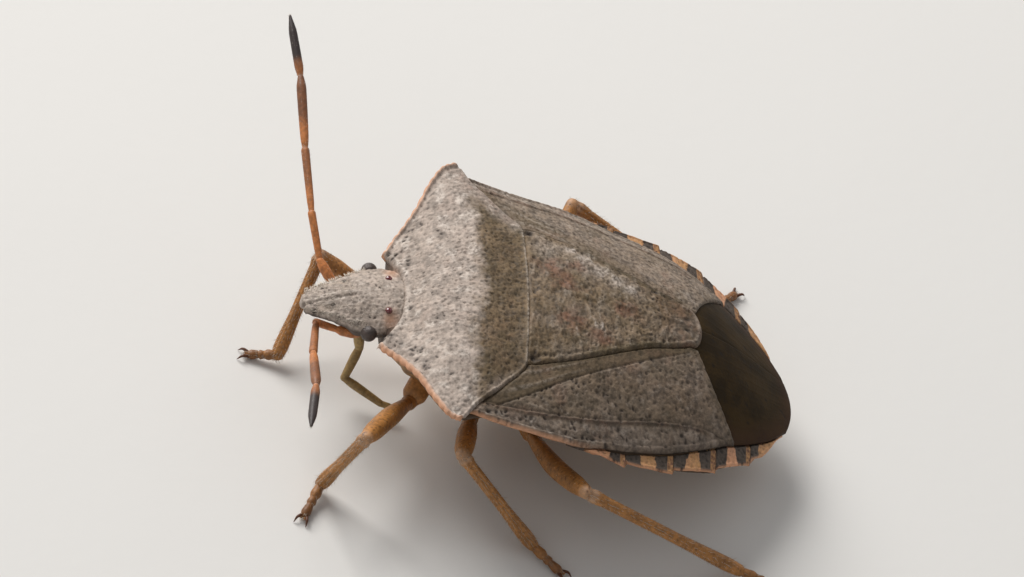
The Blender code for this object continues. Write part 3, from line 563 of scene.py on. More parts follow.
def side_distance(grid):
    """Distance from each point of a grid to the nearer of its two sides."""
    return np.minimum(border_distance(grid, grid[:, -1]), border_distance(grid, grid[:, 0]))


# Meshes


HEAD_LOW, HEAD_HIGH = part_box("head")
SHIFT = np.array(((HEAD_LOW.x + HEAD_HIGH.x) / 2 / MM, HEAD_LOW.y / MM - HEAD_TIP_Y, 0.0))


def placed(points):
    """Points of the body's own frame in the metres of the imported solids."""
    return (np.asarray(points, float) + SHIFT) * MM


def add_piece(name, points, faces, finish, stands_for=(), masks=None):
    """A named object from points in millimetres, riding on the bug and standing for its solids."""
    mesh = bpy.data.meshes.new(name)
    mesh.from_pydata(placed(points).tolist(), [], faces)
    for mask, values in (masks or {}).items():
        layer = mesh.attributes.new(mask, "FLOAT", "POINT")
        layer.data.foreach_set("value", np.asarray(values, np.float32).ravel())
    mesh.materials.append(finish)
    mesh.shade_smooth()
    made = bpy.data.objects.new(name, mesh)
    bpy.context.scene.collection.objects.link(made)
    bpy.context.view_layer.update()
    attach(made, BODY)
    if stands_for:
        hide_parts(*stands_for)
    return made


def plate_faces(shape, coarse_shape):
    """Faces of a closed plate whose fine face lies over a coarser hidden one, sewn along the rim."""
    rows, columns = shape
    low_rows, low_columns = coarse_shape
    step = (rows - 1) // (low_rows - 1)
    fine = np.arange(rows * columns).reshape(shape)
    low = rows * columns + np.arange(low_rows * low_columns).reshape(coarse_shape)
    top = np.stack([fine[:-1, :-1], fine[:-1, 1:], fine[1:, 1:], fine[1:, :-1]], -1).reshape(-1, 4)
    under = np.stack([low[:-1, :-1], low[1:, :-1], low[1:, 1:], low[:-1, 1:]], -1).reshape(-1, 4)
    faces = top.tolist() + under.tolist()

    def rim(index):
        return np.concatenate([index[0], index[1:, -1], index[-1, -2::-1], index[-2:0:-1, 0]]).tolist()

    outer, inner = rim(fine), rim(low)
    for j in range(len(inner)):
        a, b = inner[j], inner[(j + 1) % len(inner)]
        for i in range(step * j, step * (j + 1)):
            near = a if i < step * j + step // 2 else b
            faces.append((outer[(i + 1) % len(outer)], outer[i], near))
        faces.append((outer[step * j + step // 2], a, b))
    return faces


def add_plate(name, fine, hidden, finish, stands_for, masks, fine_up=True, painted_shade_beneath=None):
    """A closed plate from a fine (rows, columns, 3) grid and a coarser one for its hidden face.

    The last argument is painted shade for the hidden face: how dark it is, where that differs from the fine
    one.
    """
    faces = plate_faces(fine.shape[:2], hidden.shape[:2])
    across, along = fine[0, 1] - fine[0, 0], fine[1, 0] - fine[0, 0]
    facing_up = across[0] * along[1] - across[1] * along[0] > 0
    if facing_up != fine_up:
        faces = [face[::-1] for face in faces]
    points = np.concatenate([fine.reshape(-1, 3), hidden.reshape(-1, 3)])
    step = (fine.shape[0] - 1) // (hidden.shape[0] - 1)
    under = {mask: grid[::step, ::step] for mask, grid in masks.items()}
    # Painted shade on the hidden face goes into its pit mask
    if painted_shade_beneath is not None:
        under["pit"] = painted_shade_beneath
    values = {mask: np.concatenate([grid.ravel(), under[mask].ravel()]) for mask, grid in masks.items()}
    return add_piece(name, points, faces, finish, stands_for, values)


def stacked(grid, height):
    """A grid of (x, y) with its heights."""
    return np.concatenate([grid, height[..., None]], axis=-1)


def add_sided(name, side_name, sign, grid, top, low, finish, stands_for, masks, under=None):
    """A plate of one side of the bug, from the left side's grid. under is the hidden face's own grid."""
    side = np.array([sign, 1])
    fine = stacked(grid * side, top)
    hidden = stacked((grid if under is None else under) * side, low)[::COARSE, ::COARSE]
    add_plate(name + side_name, fine, hidden, finish, (stands_for + side_name,), masks)


def smooth_path(joints, steps):
    """Points on a smooth line through the joints, with each stretch cut into steps."""
    p = [Vector(j) for j in joints]
    p = [2 * p[0] - p[1], *p, 2 * p[-1] - p[-2]]
    line = []
    for i in range(1, len(p) - 2):
        for k in range(steps):
            t = k / steps
            a, b, c, d = p[i - 1 : i + 3]
            bend, twist = 2 * a - 5 * b + 4 * c - d, 3 * b - a - 3 * c + d
            line.append(0.5 * (2 * b + (c - a) * t + bend * t**2 + twist * t**3))
    return np.array([*line, p[-2]], float)


class Lot:
    """Closed forms gathered into the points, faces and masks of one piece."""

    def __init__(self):
        self.points = []
        self.faces = []
        self.masks = {}
        self.count = 0

    def add(self, points, faces, **masks):
        for face in faces:
            self.faces.append(tuple(index + self.count for index in face))
        for name in {*self.masks, *masks}:
            known = self.masks.setdefault(name, [np.zeros(self.count)])
            known.append(np.broadcast_to(np.asarray(masks.get(name, 0.0), float), (len(points),)))
        self.points.append(np.asarray(points, float))
        self.count += len(points)

    def piece(self, name, finish, stands_for=()):
        masks = {mask: np.concatenate(values) for mask, values in self.masks.items()}
        return add_piece(name, np.concatenate(self.points), self.faces, finish, stands_for, masks)


def tube(joints, girth, step=0.035, sides=None, section=None, floor=None):
    """A closed round form along a smooth line through the joints.

    section(angle) scales the radius. Returns the points, the faces, and for each point its share of the
    length, its place along it and round it in millimetres.
    """
    sides = sides or sizes()["sides"]
    line = smooth_path(joints, 16)
    walked = np.concatenate([[0], np.cumsum(np.linalg.norm(np.diff(line, axis=0), axis=1))])
    length = walked[-1]
    count = max(6, round(length / step))
    share = np.linspace(0, 1, count)
    centres = np.stack([np.interp(share * length, walked, line[:, k]) for k in range(3)], axis=1)
    radii = profile(girth)(share)
    ways = np.gradient(centres, axis=0)
    ways /= np.linalg.norm(ways, axis=1)[:, None]

    def cap(end, outwards, turn):
        reach = ways[end] * radii[end] * END_BULGE * math.sin(turn)
        return centres[end] + outwards * reach, radii[end] * math.cos(turn), ways[end], share[end]

    turns = np.radians((75, 55, 30))
    start = [cap(0, -1, turn) for turn in turns]
    end = [cap(-1, 1, turn) for turn in turns[::-1]]
    rings = [*start, *zip(centres, radii, ways, share), *end]
    angle = 2 * math.pi * (np.arange(sides) + 0.5) / sides
    across = Vector((0, 0, 1)).cross(Vector(ways[0]))
    across = across.normalized() if across.length > 1e-3 else Vector((1, 0, 0))
    points, shares, rounds = [], [], []
    for centre, radius, way, at in rings:
        way = Vector(way)
        across = (across - way * across.dot(way)).normalized()
        up = way.cross(across)
        scale = radius * (section(angle) if section else np.ones(sides))
        round_way = np.outer(np.cos(angle), across) + np.outer(np.sin(angle), up)
        points.append(centre + scale[:, None] * round_way)
        shares.append(np.full(sides, at))
        rounds.append(angle * radius)
    points = np.concatenate(points)
    if floor is not None:
        points[:, 2] = np.maximum(points[:, 2], floor)
    first = [tuple(range(sides - 1, -1, -1)), tuple((len(rings) - 1) * sides + k for k in range(sides))]
    index = np.arange(len(rings) * sides).reshape(-1, sides)
    turned = np.roll(index, -1, axis=1)
    quads = np.stack([index[:-1], turned[:-1], turned[1:], index[1:]], -1).reshape(-1, 4).tolist()
    shares = np.concatenate(shares)
    return points, first + quads, shares, shares * length, np.concatenate(rounds)


# Materials


class Wire:
    """An output socket of a material's node. Arithmetic on it adds Math nodes."""

    def __init__(self, finish, socket):
        self.finish = finish
        self.socket = socket

    def maths(self, operation, first, second):
        return self.finish.node("ShaderNodeMath", {"operation": operation}, {0: first, 1: second})

    def __add__(self, other):
        return self.maths("ADD", self, other)

    def __sub__(self, other):
        return self.maths("SUBTRACT", self, other)

    def __rsub__(self, other):
        return self.maths("SUBTRACT", other, self)

    def __mul__(self, other):
        return self.maths("MULTIPLY", self, other)

    __radd__ = __add__
    __rmul__ = __mul__


class Finish:
    """A material in the making: a Principled shader and the nodes that feed it."""

    def __init__(self, name, **constants):
        self.material = bpy.data.materials.new(name)
        self.material.use_nodes = True
        self.tree = self.material.node_tree
        self.shader = self.tree.nodes["Principled BSDF"]
        for socket, value in constants.items():
            self.shader.inputs[socket.replace("_", " ")].default_value = value

    def connect(self, value, socket):
        if isinstance(value, Wire):
            self.tree.links.new(value.socket, socket)
        else:
            socket.default_value = value

    def node(self, kind, settings=None, sockets=None, output=0):
        """Adds a node, sets it up, feeds its sockets and returns one of its outputs."""
        made = self.tree.nodes.new(kind)
        for name, value in (settings or {}).items():
            setattr(made, name, value)
        for key, value in (sockets or {}).items():
            self.connect(value, made.inputs[key])
        return Wire(self, made.outputs[output])

    def mask(self, name):
        """A mask that the mesh carries."""
        return self.node("ShaderNodeAttribute", {"attribute_name": name}, output="Fac")

    def mix(self, share, first, second):
        return self.node("ShaderNodeMix", {"data_type": "RGBA"}, {0: share, 6: first, 7: second}, output=2)

    def noise(self, size, detail=3.0, roughness=0.55):
        """Random values with features of that size in millimetres."""
        place = self.node("ShaderNodeTexCoord", output="Object")
        sockets = {"Vector": place, "Scale": 1 / (size * MM), "Detail": detail, "Roughness": roughness}
        return self.node("ShaderNodeTexNoise", {}, sockets, output="Fac")

    def eased(self, value, low, high):
        """0 where the value is under low and 1 where it is over high."""
        sockets = {"Value": value, "From Min": low, "From Max": high}
        return self.node("ShaderNodeMapRange", {"interpolation_type": "SMOOTHSTEP"}, sockets)

    def finished(self, colour, roughness, height, depth):
        """Feeds the shader, with the height as a relief of that depth in millimetres."""
        self.connect(colour, self.shader.inputs["Base Color"])
        self.connect(roughness, self.shader.inputs["Roughness"])
        relief = self.node("ShaderNodeBump", {}, {"Height": height, "Distance": depth * MM, "Strength": 1.0})
        self.connect(relief, self.shader.inputs["Normal"])
        return self.material


def shade(colour, factor):
    """The same colour, lighter or darker."""
    return [min(1.0, channel * factor) for channel in colour[:3]] + [1.0]


def shell_finish(name, base):
    """The pitted shell. The masks of the mesh say where it is brown, rusty, olive, white or pitted."""
    tint = colours()
    made = Finish(name, Specular_IOR_Level=0.28)
    speckle = made.noise(0.085, 4.0, 0.62)
    mottle = made.noise(0.26, 3.0, 0.6)
    cloud = made.noise(0.9, 2.0)
    lumps = made.eased(speckle * 0.55 + mottle * 0.45, 0.36, 0.64)
    pale = made.mix(lumps, shade(tint["pale"], 0.60), shade(tint["pale"], 1.17))
    dark = made.mix(lumps, shade(tint[base], 0.46), shade(tint[base], 1.46))
    dark = made.mix(made.eased(cloud, 0.35, 0.70) * 0.35, dark, tint["olive"])
    colour = made.mix(made.mask("tone"), pale, dark)
    rusty = made.mix(lumps, shade(tint["rust"], 0.6), shade(tint["rust"], 1.3))
    colour = made.mix(made.mask("rust") * made.eased(mottle, 0.30, 0.60), colour, rusty)
    olive = made.mix(lumps, shade(tint["olive"], 0.7), tint["olive"])
    colour = made.mix(made.mask("olive") * 0.8, colour, olive)
    colour = made.mix(made.mask("white") * made.eased(speckle, 0.35, 0.60), colour, tint["white"])
    margin = made.mix(lumps, shade(tint["margin"], 0.8), tint["margin"])
    colour = made.mix(made.mask("margin"), colour, margin)
    colour = made.mix(made.mask("pit"), colour, tint["pit"])
    grain = made.noise(0.03, 3.0, 0.6)
    return made.finished(colour, 0.55 + 0.28 * speckle, speckle * 0.6 + grain * 0.4, 0.014)


def plate_masks(shape):
    return {name: np.zeros(shape) for name in ("tone", "rust", "olive", "white", "margin", "pit")}


def pitted(x, y, seed, spacing_scale=1.0):
    """Depth share of the punctures over a surface, and each puncture's own random share."""
    size = sizes()
    spacing = size["pit_spacing"] * spacing_scale
    bent_x = x + 0.35 * spacing * ripple(x, y, spacing * 0.8, seed + 11)
    bent_y = y + 0.35 * spacing * ripple(x, y, spacing * 0.8, seed + 12)
    distance, share = punctures(bent_x, bent_y, spacing, seed)
    radius = size["pit_radius"] * (0.45 + 0.85 * share)
    clustered = held(share + 0.35 * ripple(x, y, 0.45, seed + 13, 2))
    return 1 - smooth(0.15, 1.0, distance / radius), clustered


# Head and back


def head_half_width(y):
    return np.maximum(head_side(y), HEAD_LEAST_HALF_WIDTH)


def head_front(s):
    """The front border of the head from the clypeus outwards, with the notch between it and the jugum."""
    jugum_y, jugum_x = HEAD_SIDE[0]
    x = s * jugum_x
    notch = 0.05 * math.exp(-(((x - CLYPEUS_HALF_WIDTH) / 0.035) ** 2))
    if x <= CLYPEUS_HALF_WIDTH:
        return x, HEAD_TIP_Y + 0.06 * (x / CLYPEUS_HALF_WIDTH) ** 2 + notch
    share = (x - CLYPEUS_HALF_WIDTH) / (jugum_x - CLYPEUS_HALF_WIDTH)
    return x, HEAD_TIP_Y + JUGUM_STEP + notch + (jugum_y - HEAD_TIP_Y - JUGUM_STEP) * share**2.2


def head_surface():
    """The top of the head as a grid of (x, y) with its heights and masks."""
    size = sizes()
    tuck = 0.16
    rear = crossing(neck_curve, 0, HEAD_REAR_HALF_WIDTH, tuck)

    def half_width(y):
        return head_side(y) if y < HEAD_SIDE[-1][0] else NAPE_HALF_WIDTH

    middle = running(middle_line, HEAD_TIP_Y, rear(0)[1])
    side = running(half_width, HEAD_SIDE[0][0], rear(1)[1])
    grid = mirrored(patch(head_front, rear, middle, side, *cells("head", 0.8, 0.8)))
    x, y = grid[..., 0], grid[..., 1]
    folded = np.abs(x)
    masks = plate_masks(x.shape)
    edge = side_distance(grid)
    tip = border_distance(grid, grid[0])
    crown = arch(x, head_half_width(y), head_edge_height(y), head_ridge_height(y), 2.0)

    suture_gap = folded - (CLYPEUS_HALF_WIDTH - 0.06 * smooth(-4.5, -3.7, y))
    fading = 1 - smooth(-3.75, -3.40, y)
    suture = bump(suture_gap, 0.05) * fading
    clypeus = smooth(0.02, -0.06, suture_gap) * fading
    side_bead = bump(edge - 0.05, 0.08) * (1 - smooth(-3.7, -3.5, y))
    hollow = bump(folded - 0.34, 0.14) * smooth(-4.6, -4.4, y) * (1 - smooth(-4.0, -3.6, y))
    callus = spot(folded, y, HEAD_CALLUS, 0.22, 1.3)
    under_neck = smooth(-0.02, 0.12, y - neck_curve(folded))
    pit, share = pitted(x, y, 31, 0.9)
    wrinkles = ripple(x / 0.09, y / 0.22, 1.0, 5)
    rough = size["crust"] * 0.8 * wrinkles - size["pit_depth"] * 0.8 * pit
    top = raised(crown, "head", clypeus=clypeus, suture=suture, bead=side_bead, hollow=hollow)
    top = raised(top + rough * (1 - callus), "head", under_neck=under_neck)
    top = top - rolled(edge, 0.06) - rolled(tip, 0.05)

    streaks = ripple(x / 0.07, y / 0.30, 1.0, 8, 2)
    dark = np.maximum(blots(x, y, HEAD_MARKS, 9), 0.35 * suture * smooth(-4.0, -4.3, y))
    few = smooth(0.45, 0.7, share)
    dark_streaks = 0.12 * smooth(0.25, 0.7, -streaks) * smooth(-3.3, -3.7, y)
    masks["pit"] = held(pit * (0.07 + 0.22 * few + 0.7 * dark) + dark_streaks, 0.85) * (1 - callus)
    masks["tone"] = held(0.10 + 0.18 * ripple(x, y, 0.35, 10) + 0.20 * hollow)
    masks["white"] = held(smooth(0.1, 0.6, streaks) * 0.50 + 0.3 * bump(edge, 0.06))
    masks["rust"] = 0.30 * callus + 0.35 * spot(folded, y, HEAD_CORNER, 0.22, 1.4)
    masks["margin"] = 0.38 * spot(folded, y, HEAD_PINK, 0.26, 1.3)
    tilted = 1 + FAR_CHEEK * smooth(-4.0, -3.3, y) * (x < 0)
    return np.stack([x * tilted, y], axis=-1), top, masks


def head_under(x, y):
    """Underside of the head, from its rounded throat up to the thin side edges."""
    return arch(x, head_half_width(y), head_edge_height(y) - 0.14, head_belly_height(y), 1.6)


class SHIELDBUG_OT_head(bpy.types.Operator):
    """Build the rough, grooved head with its clypeus between two juga"""

    bl_idname = "shield_bug.head"
    bl_label = "Head"

    def execute(self, context):
        grid, top, masks = head_surface()
        half = grid[::2, ::2]
        x, y = half[..., 0], half[..., 1]
        folded = np.abs(x)
        throat = np.minimum(head_under(x, y), top[::2, ::2] - 0.08)
        bucculae = bump(folded - BUCCULA_X, 0.09) * smooth(-4.3, -3.9, y) * (1 - smooth(-3.3, -3.0, y))
        socket = spot(folded, y, FEELER_SOCKET, 0.26)
        throat = raised(throat, "head", socket=socket, bucculae=bucculae, grain=ripple(x, y, 0.12, 17))
        # Painted shade: the throat darkens towards the head's side edges, for the shadow that falls under
        # them
        painted_shade_beneath = 0.85 * smooth(0.45, 0.70, folded / head_half_width(y))
        add_plate("head_shell", stacked(grid, top), stacked(half, throat),
                  shell_finish("head_crust", "brown"), ("head",), masks, painted_shade_beneath=painted_shade_beneath)
        return {"FINISHED"}


def pronotum_grid():
    """The shield from side to side. Its right front angle lies a little further back than the left one."""
    (front_x, front_y), (rear_x, rear_y) = ANTERIOR_ANGLE, HUMERAL_ANGLE
    front = crossing(neck_curve, 0, front_x)
    rear = crossing(hind_curve, 0, rear_x)
    middle = running(middle_line, NECK_Y, PRONOTUM_BACK_Y)
    side = running(edge_half_width, front_y, rear_y)
    grid = mirrored(patch(front, rear, middle, side, *cells("pronotum")))
    grid[..., 1] += RIGHT_ANGLE_BACK * spot(grid[..., 0], grid[..., 1], (-front_x, front_y), 0.55)
    return grid


class SHIELDBUG_OT_pronotum(bpy.types.Operator):
    """Build the wide shield behind the head, with its notched side margin and sharp shoulders"""

    bl_idname = "shield_bug.pronotum"
    bl_label = "Pronotum"

    def execute(self, context):
        size = sizes()
        grid = pronotum_grid()
        x, y = grid[..., 0].copy(), grid[..., 1].copy()
        folded = np.abs(x)
        masks = plate_masks(x.shape)
        side = side_distance(grid)
        front = border_distance(grid, grid[0])
        rear = border_distance(grid, grid[-1])
        pit, share = pitted(x, y, 3)

        callus_y = PRONOTUM_CALLUS[1] + 0.08 * folded
        callus = bump(np.hypot((folded - PRONOTUM_CALLUS[0]) / 1.9, y - callus_y), 0.24)
        crest_y = CREST_Y + 0.10 * folded / HUMERAL_ANGLE[0]
        top = raised(back(x, y), "pronotum", front_rib=bump(front - 0.07, 0.10),
                     rear_rib=bump(rear - 0.045, 0.05), bead=bump(side - 0.045, 0.06),
                     gutter=bump(side - 0.13, 0.08), callus=callus, crest=bump(y - crest_y, 0.40),
                     saddle=bump(y + 0.45, 0.30))
        flat = 1 - 0.85 * bump(side, 0.14) - 0.6 * bump(rear, 0.10)
        crust = size["crust"] * 0.85 * ripple(x, y, 0.12, 21) + 0.018 * ripple(x, y, 0.55, 22, 2)
        top = top + (crust - size["pit_depth"] * pit * (1 - 0.7 * callus)) * held(flat)
        top = top - rolled(side, 0.07) - rolled(front, 0.05) - 0.5 * rolled(rear, 0.05)
        notch = np.abs(np.sin(math.pi * y / NOTCH_LENGTH + 0.6 * ripple(y, y * 0, 0.3, 4, 1)))
        reach = NOTCH_DEPTH * (1 - smooth(0.0, 0.16, side))
        reach = reach * smooth(-1.50, -1.75, y) * smooth(-3.17, -3.02, y)
        grid = np.stack([x + np.sign(x) * reach * notch, y - 0.5 * reach * notch], axis=-1)

        tone = smooth(-1.46, -1.06, y + 0.20 * ripple(x, y, 0.50, 41) + 0.10 * ripple(x, y, 0.13, 42))
        far_border = bump(rear - 0.08, 0.50) * smooth(1.6, 2.4, -x)
        near_border = bump(rear - 0.05, 0.25) * smooth(2.0, 2.6, x)
        tone = tone * (1 - 0.85 * far_border) * (1 - 0.45 * near_border)
        # Painted shade: a darker, more olive patch on the left shoulder only, the side turned from the key
        # light
        shoulder_x, shoulder_y = SHOULDER_PAINTED_SHADE
        shoulder = bump(np.hypot(folded - shoulder_x, (y - shoulder_y) / 0.6), 0.55) * (x > 0)
        masks["tone"] = held(tone + 0.10 * ripple(x, y, 0.35, 43) + 0.5 * shoulder)
        masks["olive"] = 0.35 * tone * smooth(0.0, 0.6, ripple(x, y, 0.55, 44)) + 0.4 * shoulder
        beside = bump(side - 0.24, 0.20) * smooth(-1.9, -2.4, y)
        dark = held(blots(x, y, PRONOTUM_MARKS, 45) + 0.8 * beside * smooth(0.35, 0.6, share))
        few = smooth(0.50, 0.72, share)
        inside = 1 - bump(side, 0.10)
        pits = pit * held(0.02 + 0.20 * few + 1.10 * dark + 0.22 * tone, 0.96)
        pits = (pits + 0.26 * dark * (1 - pit)) * inside * (1 - 0.5 * callus)
        # Painted shade: a little darker over the left side, the side turned from the key light
        masks["pit"] = pits + 0.06 * smooth(1.2, 2.2, x) * inside
        masks["white"] = held(smooth(0.05, 0.55, ripple(x, y, 0.22, 47)) * 0.65 * (1 - tone)
                              + 0.30 * bump(front - 0.07, 0.10)
                              + 0.45 * bump(rear - 0.03, 0.05) * smooth(2.1, 1.8, folded))
        pinkish = 0.20 * callus + 0.14 * smooth(0.10, 0.60, ripple(x, y, 0.30, 48))
        masks["rust"] = 0.12 * tone * smooth(0.2, 0.6, ripple(x, y, 0.4, 49)) + (1 - tone) * pinkish
        masks["rust"] = masks["rust"] + 0.22 * far_border
        masks["margin"] = bump(side, 0.10) * 0.95 * smooth(-3.19, -3.08, y)

        outward = held(folded / edge_half_width(y))
        drawn_in = grid.copy()
        drawn_in[..., 0] -= np.sign(x) * 0.16 * outward**8
        drawn_in[..., 1] += 0.12 * bump(side, 0.3) * bump(front, 0.3)
        low = back(drawn_in[..., 0], y) - size["shell"] + (size["shell"] - 0.15) * outward**6
        hidden = stacked(drawn_in, low)[::COARSE, ::COARSE]
        add_plate("pronotum_shield", stacked(grid, top), hidden,
                  shell_finish("pronotum_crust", "brown"), ("pronotum",), masks)
        return {"FINISHED"}


def scutellum_grid():
    """The triangle with its round tip, tucked a little under the pronotum and over the wings."""
    end_y, end_x = SCUTELLUM_SIDE[-1]
    spread, tuck = 0.05, 0.12
    tip_y = SCUTELLUM_TIP_Y + spread
    front = crossing(hind_curve, 0, SCUTELLUM_HALF_BASE + spread, -tuck)

    def rear(s):
        turn = math.radians(90) * s
        return (end_x + spread) * math.sin(turn), end_y + (SCUTELLUM_TIP_Y - end_y + spread) * math.cos(turn)

    middle = running(middle_line, front(0)[1], tip_y)
    side = running(scutellum_side, front(1)[1], end_y, spread)
    return mirrored(patch(front, rear, middle, side, *cells("scutellum", 0.9)))


class SHIELDBUG_OT_scutellum(bpy.types.Operator):
    """Build the long rough triangle in the middle of the back, with a smooth round tip"""

    bl_idname = "shield_bug.scutellum"
    bl_label = "Scutellum"

    def execute(self, context):
        size = sizes()
        grid = scutellum_grid()
        x, y = grid[..., 0], grid[..., 1]
        folded = np.abs(x)
        masks = plate_masks(x.shape)
        edge = np.minimum(side_distance(grid), border_distance(grid, grid[-1]))
        pit, share = pitted(x * 0.85, y * 1.15, 61)

        wrinkle = ripple(x, y * 2.2 + 0.25 * ripple(x, y, 0.5, 63, 1), 0.24, 64)
        smooth_tip = smooth(2.9, 3.35, y)
        rough = (1 - 0.8 * smooth_tip) * (1 - 0.7 * bump(edge, 0.10))
        horseshoe = smooth(3.12, 3.34, y) * bump(edge - 0.075, 0.075)
        tip_pit = sum(spot(x, y, at, radius, 0.6) for *at, radius in SCUTELLUM_TIP_PITS)
        corner_pit = spot(folded, y, SCUTELLUM_CORNER_PIT, 0.18)
        tucked = 1 - smooth(-0.06, 0.02, y - hind_curve(folded))
        groove = bump(edge - 0.13, 0.07) * (1 - smooth_tip)
        top = raised(back(x, y), "scutellum", lift=1, wrinkles=wrinkle * rough)
        top = top - size["pit_depth"] * pit * rough + size["crust"] * 0.7 * ripple(x, y, 0.10, 66) * rough
        top = raised(top, "scutellum", swelling=spot(x, y, SCUTELLUM_SWELLING, 1.1),
                     keel=bump(x, 0.12) * smooth(0.2, 1.0, y), horseshoe=horseshoe, tip_pits=tip_pit,
                     corner_pit=corner_pit, tucked=tucked, groove=groove) - rolled(edge, 0.07)

        crest = smooth(0.10, 0.75, wrinkle)
        soft = np.max([spot(x, y, at, 2.4 * radius) for *at, radius in SCUTELLUM_BLOOM], axis=0)
        far = 0.45 * blots(x, y, SCUTELLUM_BLOOM, 71) + 0.55 * soft * (0.8 + 0.4 * ripple(x, y, 0.12, 73))
        far = far + 0.5 * spot(x, y, SCUTELLUM_FAR_BLOOM, 0.55)
        lilac = blots(x, y, SCUTELLUM_LILAC, 72)
        reddish = sum(spot(x, y, at, radius) for *at, radius in SCUTELLUM_RUST)
        reddish = reddish + 0.35 * ripple(x, y, 0.18, 70)
        masks["tone"] = held(0.92 + 0.20 * ripple(x, y, 0.4, 68) - 0.40 * far - 0.25 * lilac * crest)
        masks["white"] = held((0.16 + 0.34 * lilac) * crest + 0.40 * far + 0.20 * horseshoe, 0.9)
        masks["rust"] = held(smooth(0.0, 0.9, reddish) * 0.72 + 0.35 * smooth(2.5, 3.2, y), 0.8)
        masks["olive"] = held(bump(edge - 0.06, 0.12) * smooth(0.4, 1.4, y) * (1 - smooth_tip)) * 0.9
        base_specks = spot(folded, y, (0.95, 0.05), 0.30) + spot(x, y, (0.0, 0.02), 0.22)
        beside = bump(edge - 0.12, 0.16) * smooth(0.0, -0.2, x) * smooth(0.1, 0.4, y) * smooth(2.9, 2.4, y)
        dark = smooth(0.45, 0.75, share) * smooth(0.0, 0.5, ripple(x, y, 0.3, 69, 2)) + base_specks + beside
        masks["pit"] = held(pit * held(0.25 + 0.45 * dark) * (1 - smooth_tip) + 0.9 * corner_pit
                            + 0.16 * smooth(2.3, 3.0, y) + 0.8 * tip_pit, 0.95)
        hidden = stacked(grid, np.minimum(back(x, y) - 0.22, top - 0.06))[::COARSE, ::COARSE]
        add_plate("scutellum_shield", stacked(grid, top), hidden,
                  shell_finish("scutellum_crust", "brown"), ("scutellum",), masks)
        return {"FINISHED"}


# Wings and abdomen


def corium_grid():
    """The leathery part of the left forewing, its edges tucked under the scutellum and the pronotum."""
    under_scutellum, under_pronotum = 0.16, 0.14
    (inner_x, inner_y), (outer_x, outer_y) = CORIUM_INNER_END, CORIUM_CORNER
    front = crossing(hind_curve, SCUTELLUM_HALF_BASE - under_scutellum, CORIUM_SIDE[0][1], -under_pronotum)

    def rear(s):
        bow = CORIUM_END_BOW * math.sin(math.pi * s)
        return inner_x + s * (outer_x - inner_x), inner_y + s * (outer_y - inner_y) + bow

    def inner(t):
        y = front(0)[1] + t * (inner_y - front(0)[1])
        return float(scutellum_side(y)) - under_scutellum + 0.14 * t**6, y

    outer = running(corium_side, front(1)[1], outer_y)
    return patch(front, rear, inner, outer, *cells("corium", 1.0, 1.1))


